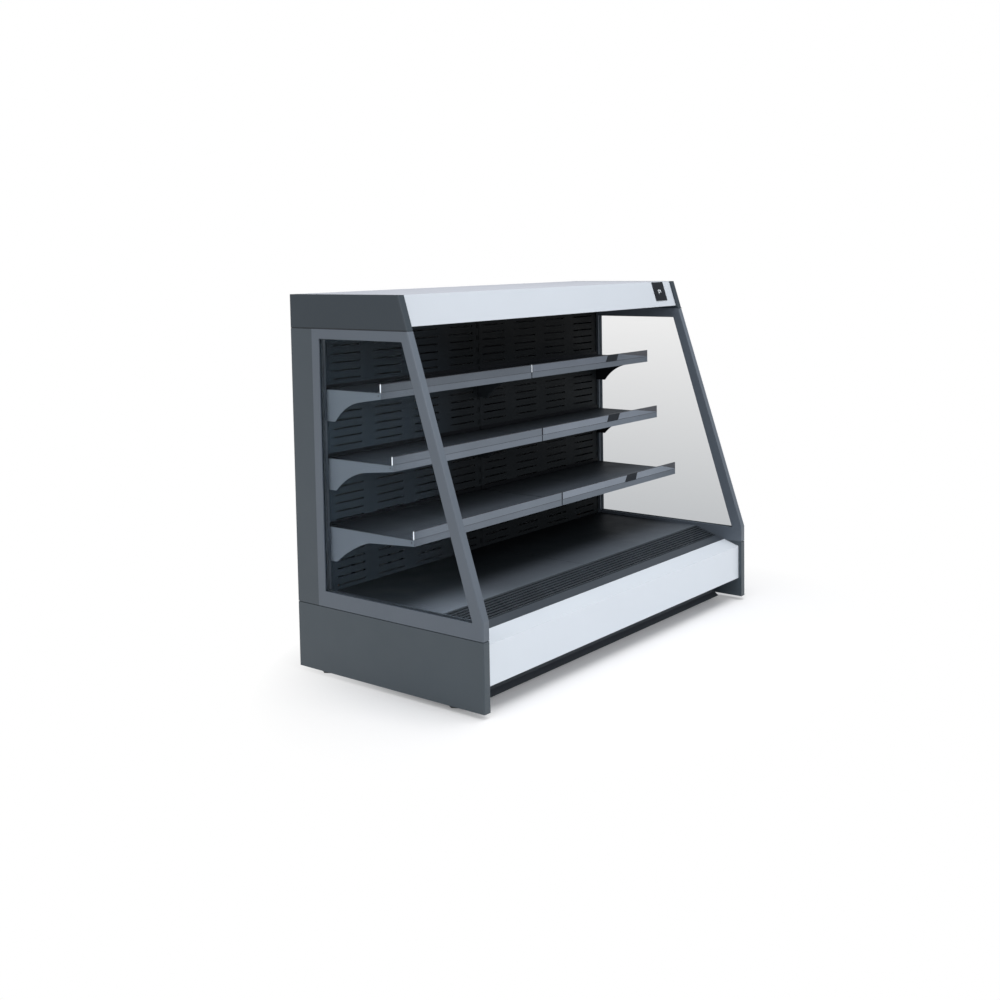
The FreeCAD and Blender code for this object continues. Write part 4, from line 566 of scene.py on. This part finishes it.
# label strips: how far the right bay's are cut back along their top edge, at a slant
LABEL_CUT = {"upper": 240 * MM, "middle": 187 * MM, "lower": 121 * MM}
LABEL_CUT_DROP = 27 * MM
LABEL_MARGIN = 1.5 * MM
LABEL_THICKNESS = 0.6 * MM


def add_label_strips():
    """Pale label strips in the price rails' fronts."""
    for level, cut_back in LABEL_CUT.items():
        for side in ("left", "right"):
            low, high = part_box(f"price_rail_{level}_{side}")
            near, far = low.x + LABEL_MARGIN, high.x - LABEL_MARGIN
            tall = high.z - low.z - 2 * LABEL_MARGIN
            outline = rectangle(near, 0, far, tall)
            if side == "right":
                outline[2:3] = [(far, tall - LABEL_CUT_DROP), (far - cut_back, tall)]
            plate(f"label_strip_{level}_{side}", outline, LABEL_THICKNESS,
                  basis((0, low.y, low.z + LABEL_MARGIN), RIGHT, UP), "label_" + side,
                  f"shelf_{level}_{side}")


# rail ends that catch the light, the only ones made white: painted highlight
LIT_ENDS = (("upper", "left"), ("middle", "left"), ("lower", "left"), ("upper", "right"))
RAIL_THICKNESS = 5 * MM
END_THICKNESS = 0.4 * MM


def add_rail_ends():
    """White acrylic left ends of the price rails, glowing, on the ends that catch the light:
    painted highlight.
    """
    for level, side in LIT_ENDS:
        low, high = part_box(f"price_rail_{level}_{side}")
        plate(f"rail_end_{level}_{side}", rectangle(0, 0, RAIL_THICKNESS, high.z - low.z),
              END_THICKNESS, basis((low.x - END_THICKNESS, low.y, low.z), BACK, UP), "rail_end",
              f"shelf_{level}_{side}")


# seven-segment digits on the small black plate: the bars that are on, and each bar's two ends
DIGIT_TALL = 15 * MM
DIGIT_WIDE = 8 * MM
DIGIT_BAR = 1.8 * MM
DIGIT_STEP = 13 * MM
DIGIT_THICKNESS = 0.3 * MM
DIGITS = ("abcdef", "bcfg")
SEGMENTS = {
    "a": (0, 1, 1, 1), "b": (1, 0.5, 1, 1), "c": (1, 0, 1, 0.5), "d": (0, 0, 1, 0),
    "e": (0, 0, 0, 0.5), "f": (0, 0.5, 0, 1), "g": (0, 0.5, 1, 0.5),
}


def corners_of(points):
    """Lowest and highest corners of the box round some points."""
    low = Vector([min(point[axis] for point in points) for axis in range(3)])
    high = Vector([max(point[axis] for point in points) for axis in range(3)])
    return low, high


def display_face():
    """Middle and upward direction of the display plate's outer face, from its own mesh."""
    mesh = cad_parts["display_plate"].data
    facing = [face for face in mesh.polygons if face.normal.y < -0.5]
    outer = max(facing, key=lambda face: face.area)
    same = [face for face in mesh.polygons if face.normal.dot(outer.normal) > 0.999]
    low, high = corners_of([mesh.vertices[index].co for face in same for index in face.vertices])
    return (low + high) / 2, outer.normal.cross(Vector(RIGHT))


def add_digits():
    """Generic digits in the place that bears a name in the photograph."""
    middle, up = display_face()
    half = DIGIT_BAR / 2
    for count, shown in enumerate(DIGITS):
        left = (count - (len(DIGITS) - 1) / 2) * DIGIT_STEP - DIGIT_WIDE / 2
        for segment in shown:
            x0, y0, x1, y1 = SEGMENTS[segment]
            u0, u1 = left + x0 * DIGIT_WIDE, left + x1 * DIGIT_WIDE
            v0, v1 = (y0 - 0.5) * DIGIT_TALL, (y1 - 0.5) * DIGIT_TALL
            outline = rectangle(u0 + half, v0 - half, u1 - half, v1 + half)
            if x0 == x1:
                outline = rectangle(u0 - half, v0 + half, u1 + half, v1 - half)
            plate(f"digit_{count}_{segment}", outline, DIGIT_THICKNESS,
                  basis(middle, RIGHT, up), "print", "case")


# a button-head screw: radius and rise of the rings of its head, then its six-sided socket
SCREW_SIDES = 20
SCREW_RADIUS = 4.5 * MM
SCREW_RISE = 2.4 * MM
SCREW_RINGS = ((1.0, 0.0), (0.98, 0.45), (0.80, 0.85), (0.55, 1.0))
SOCKET_RADIUS = 0.42
SOCKET_DEPTH = 0.55
SOCKET_SIDE = math.pi / 3


def socket_reach(angle):
    """How far the six-sided socket's wall is from its middle, for a socket of radius 1."""
    return math.cos(SOCKET_SIDE / 2) / math.cos(angle % SOCKET_SIDE - SOCKET_SIDE / 2)


def screw(name, origin, u, material="bright_screw", scale=1.0):
    """Button-head screw with a six-sided socket, standing on the plane of u and up."""
    angles = [2 * math.pi * step / SCREW_SIDES for step in range(SCREW_SIDES)]
    sections = [([radius] * SCREW_SIDES, rise) for radius, rise in SCREW_RINGS]
    socket = [SOCKET_RADIUS * socket_reach(angle) for angle in angles]
    sections += [(socket, 1.0), (socket, 1.0 - SOCKET_DEPTH)]
    shape = joined([[(math.cos(angle) * reach * SCREW_RADIUS * scale,
                      math.sin(angle) * reach * SCREW_RADIUS * scale,
                      rise * SCREW_RISE * scale) for angle, reach in zip(angles, reaches)]
                    for reaches, rise in sections])
    new_piece(name, shape, basis(origin, u, UP), material, "case")


def solids_of(node):
    """Lowest and highest corners of every separate solid of a node, from left to right."""
    shape = bmesh.new()
    shape.from_mesh(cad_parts[node].data)
    bmesh.ops.remove_doubles(shape, verts=shape.verts, dist=0.01 * MM)
    left = set(shape.verts)
    found = []
    while left:
        solid = []
        reached = [left.pop()]
        while reached:
            vertex = reached.pop()
            solid.append(vertex.co.copy())
            neighbours = {edge.other_vert(vertex) for edge in vertex.link_edges} & left
            left -= neighbours
            reached += neighbours
        found.append(corners_of(solid))
    shape.free()
    return sorted(found, key=lambda box: (round(box[0].x, 3), box[0].z))


NOSE_INSET = 11 * MM
NOSE_DROP = 9 * MM
NOSE_SCREW_SCALE = 0.55


def add_bracket_screws():
    """Small dark screw on both sides of each shelf bracket's nose."""
    for count, (low, high) in enumerate(solids_of("shelf_brackets")):
        for end, x, u in (("a", low.x, FRONT), ("b", high.x, BACK)):
            screw(f"bracket_screw_{count}_{end}", (x, low.y + NOSE_INSET, high.z - NOSE_DROP), u,
                  "dark_screw", NOSE_SCREW_SCALE)


EDGE_INSET = 10 * MM
BACK_SCREW_COLUMNS = 7
KICK_SCREW_SHARES = (0.04, 0.35, 0.65, 0.96)
KICK_SCREW_SCALE = 0.8


def add_rear_screws():
    """Screws round the rear panels and along the kick rail, numbered through."""
    count = 0
    for low, high in solids_of("rear_louvre_panel"):
        for x in (low.x + EDGE_INSET, (low.x + high.x) / 2, high.x - EDGE_INSET):
            for z in (low.z + EDGE_INSET, high.z - EDGE_INSET):
                screw(f"rear_panel_screw_{count}", (x, high.y, z), LEFT)
                count += 1
    low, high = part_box("insulated_back")
    run = high.x - low.x - 2 * EDGE_INSET
    for column in range(BACK_SCREW_COLUMNS):
        x = low.x + EDGE_INSET + run * column / (BACK_SCREW_COLUMNS - 1)
        for z in (low.z + 2 * EDGE_INSET, high.z - EDGE_INSET):
            screw(f"back_screw_{count}", (x, high.y, z), LEFT)
            count += 1
    low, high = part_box("kick_rail")
    for share in KICK_SCREW_SHARES:
        x = low.x + (high.x - low.x) * share
        screw(f"kick_rail_screw_{count}", (x, low.y, (low.z + high.z) / 2), RIGHT,
              "dark_screw", KICK_SCREW_SCALE)
        count += 1


SEAM_TALL = 3.2 * MM
SEAM_THICKNESS = 0.4 * MM


def add_canopy_seams():
    """Dark strip over the joint between each end cap and the side frame under it: painted shade for
    the shadow gap there.
    """
    for side in ("left", "right"):
        low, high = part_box(f"canopy_end_cap_{side}")
        frame_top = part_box(f"side_frame_{side}")[1].z
        outer = low.x - SEAM_THICKNESS if side == "left" else high.x
        place = basis((outer, 0, (low.z + frame_top) / 2 - SEAM_TALL / 2), BACK, UP)
        plate(f"canopy_seam_{side}", rectangle(low.y, 0, high.y, SEAM_TALL), SEAM_THICKNESS,
              place, "seam", "case")


add_canopy_seams()
add_label_holders()
add_label_strips()
add_rail_ends()
add_digits()
add_bracket_screws()
add_rear_screws()

# ---------------------------------------------------------------- studio and camera

WORLD_LIGHT = 0.46
WORLD_COLOUR = (0.95, 0.97, 1.0, 1)
FLOOR_REACH = 40.0
FLOOR_LOW = (0.87, 0.87, 0.88, 1)
FLOOR_HIGH = (0.89, 0.89, 0.90, 1)
FLOOR_GLOW = 0.03
# the floor fades to white over an oval round the case: its scale, shift, start and end
FADE_SCALE = (0.72, 1.0, 1.0)
FADE_SHIFT = (0.0, 0.25, 0.0)
FADE_START = 0.58
FADE_END = 1.10


def add_floor():
    """Pale floor that keeps the object's shadow and turns into the white background further out."""
    mesh = bpy.data.meshes.new("floor")
    corners = rectangle(-FLOOR_REACH, -FLOOR_REACH, FLOOR_REACH, FLOOR_REACH)
    mesh.from_pydata([(x, y, 0) for x, y in corners], [], [(0, 1, 2, 3)])
    floor = bpy.data.objects.new("floor", mesh)
    bpy.context.collection.objects.link(floor)
    n = Nodes("floor")
    seen = n.add("ShaderNodeLightPath").outputs["Is Camera Ray"]
    glow = n.add("ShaderNodeEmission", Color=WHITE)
    oval = n.add("ShaderNodeMapping", Vector=n.place, Location=FADE_SHIFT, Scale=FADE_SCALE)
    far = n.add("ShaderNodeVectorMath", Vector=oval.outputs[0])
    far.operation = "LENGTH"
    fade = n.levels(far.outputs["Value"], FADE_START, FADE_END, 0.0, 1.0)
    n.mix(fade, n.shader.outputs[0], glow.outputs[0])
    mesh.materials.append(n.finish(
        Base_Color=n.ramp(n.noise(0.6), (NOISE_LOW, FLOOR_LOW), (NOISE_HIGH, FLOOR_HIGH)),
        Roughness=n.vary(n.noise(3.0), 0.85, 0.95),
        Specular_IOR_Level=0.0,
        Emission_Color=WHITE,
        Emission_Strength=n.levels(seen, 0.0, 1.0, 0.0, FLOOR_GLOW)))


def add_world():
    """Even light from all round, and a white background for what the camera sees."""
    world = bpy.data.worlds.new("studio")
    bpy.context.scene.world = world
    world.use_nodes = True
    tree = world.node_tree
    lit = tree.nodes["Background"]
    lit.inputs["Color"].default_value = WORLD_COLOUR
    lit.inputs["Strength"].default_value = WORLD_LIGHT
    seen = tree.nodes.new("ShaderNodeBackground")
    seen.inputs["Color"].default_value = WHITE
    path = tree.nodes.new("ShaderNodeLightPath")
    share = tree.nodes.new("ShaderNodeMath")
    share.operation = "MAXIMUM"
    tree.links.new(path.outputs["Is Camera Ray"], share.inputs[0])
    tree.links.new(path.outputs["Is Transmission Ray"], share.inputs[1])
    mix = tree.nodes.new("ShaderNodeMixShader")
    tree.links.new(share.outputs[0], mix.inputs[0])
    tree.links.new(lit.outputs[0], mix.inputs[1])
    tree.links.new(seen.outputs[0], mix.inputs[2])
    tree.links.new(mix.outputs[0], tree.nodes["World Output"].inputs["Surface"])


# name, place, the point that it faces, width, height and power in watts
LAMPS = (
    ("key", (-1.0, -5.2, 3.4), (0, 0, 0.7), 3.2, 2.4, 102),
    ("fill", (-5.5, 0.5, 2.8), (0, 0, 0.7), 3.0, 2.4, 60),
    ("top", (0.2, -1.3, 4.6), (0, -0.2, 0.7), 4.0, 2.6, 128),
)


def add_lamps():
    """Soft rectangular lamps."""
    for name, place, target, width, height, power in LAMPS:
        data = bpy.data.lights.new(name, "AREA")
        data.shape = "RECTANGLE"
        data.size = width
        data.size_y = height
        data.energy = power
        lamp = bpy.data.objects.new(name, data)
        bpy.context.collection.objects.link(lamp)
        lamp.location = place
        lamp.rotation_mode = "QUATERNION"
        facing = Vector(target) - Vector(place)
        lamp.rotation_quaternion = facing.to_track_quat("-Z", "Y")


# the photograph's camera, solved from the case's edges: a frame 1000 pixels wide
FRAME_PIXELS = 1000
FOCAL_PIXELS = 1267.2
OPTICAL_ROW = 350
CAMERA_PLACE = (-4.1836, -3.1482, 1.5825)
CAMERA_YAW = math.radians(51.3547)
CAMERA_PITCH = math.radians(4.2882)
CAMERA_ROLL = math.radians(0.9647)
SENSOR_WIDTH = 36.0
CLIP_END = 200.0


def add_camera():
    """Camera that looks along its yaw and down by its pitch, then rolls about its own axis."""
    data = bpy.data.cameras.new("camera")
    data.sensor_width = SENSOR_WIDTH
    data.lens = SENSOR_WIDTH * FOCAL_PIXELS / FRAME_PIXELS
    data.shift_y = (OPTICAL_ROW - FRAME_PIXELS / 2) / FRAME_PIXELS
    data.clip_end = CLIP_END
    camera = bpy.data.objects.new("camera", data)
    bpy.context.collection.objects.link(camera)
    forward = Vector((math.sin(CAMERA_YAW) * math.cos(CAMERA_PITCH),
                      math.cos(CAMERA_YAW) * math.cos(CAMERA_PITCH), -math.sin(CAMERA_PITCH)))
    level = Vector((math.cos(CAMERA_YAW), -math.sin(CAMERA_YAW), 0))
    right = math.cos(CAMERA_ROLL) * level + math.sin(CAMERA_ROLL) * forward.cross(level)
    turned = Matrix((right, -forward.cross(right), -forward)).transposed()
    camera.matrix_world = Matrix.Translation(CAMERA_PLACE) @ turned.to_4x4()
    bpy.context.scene.camera = camera


add_floor()
add_world()
add_lamps()
add_camera()
bpy.context.scene.view_settings.view_transform = "Standard"
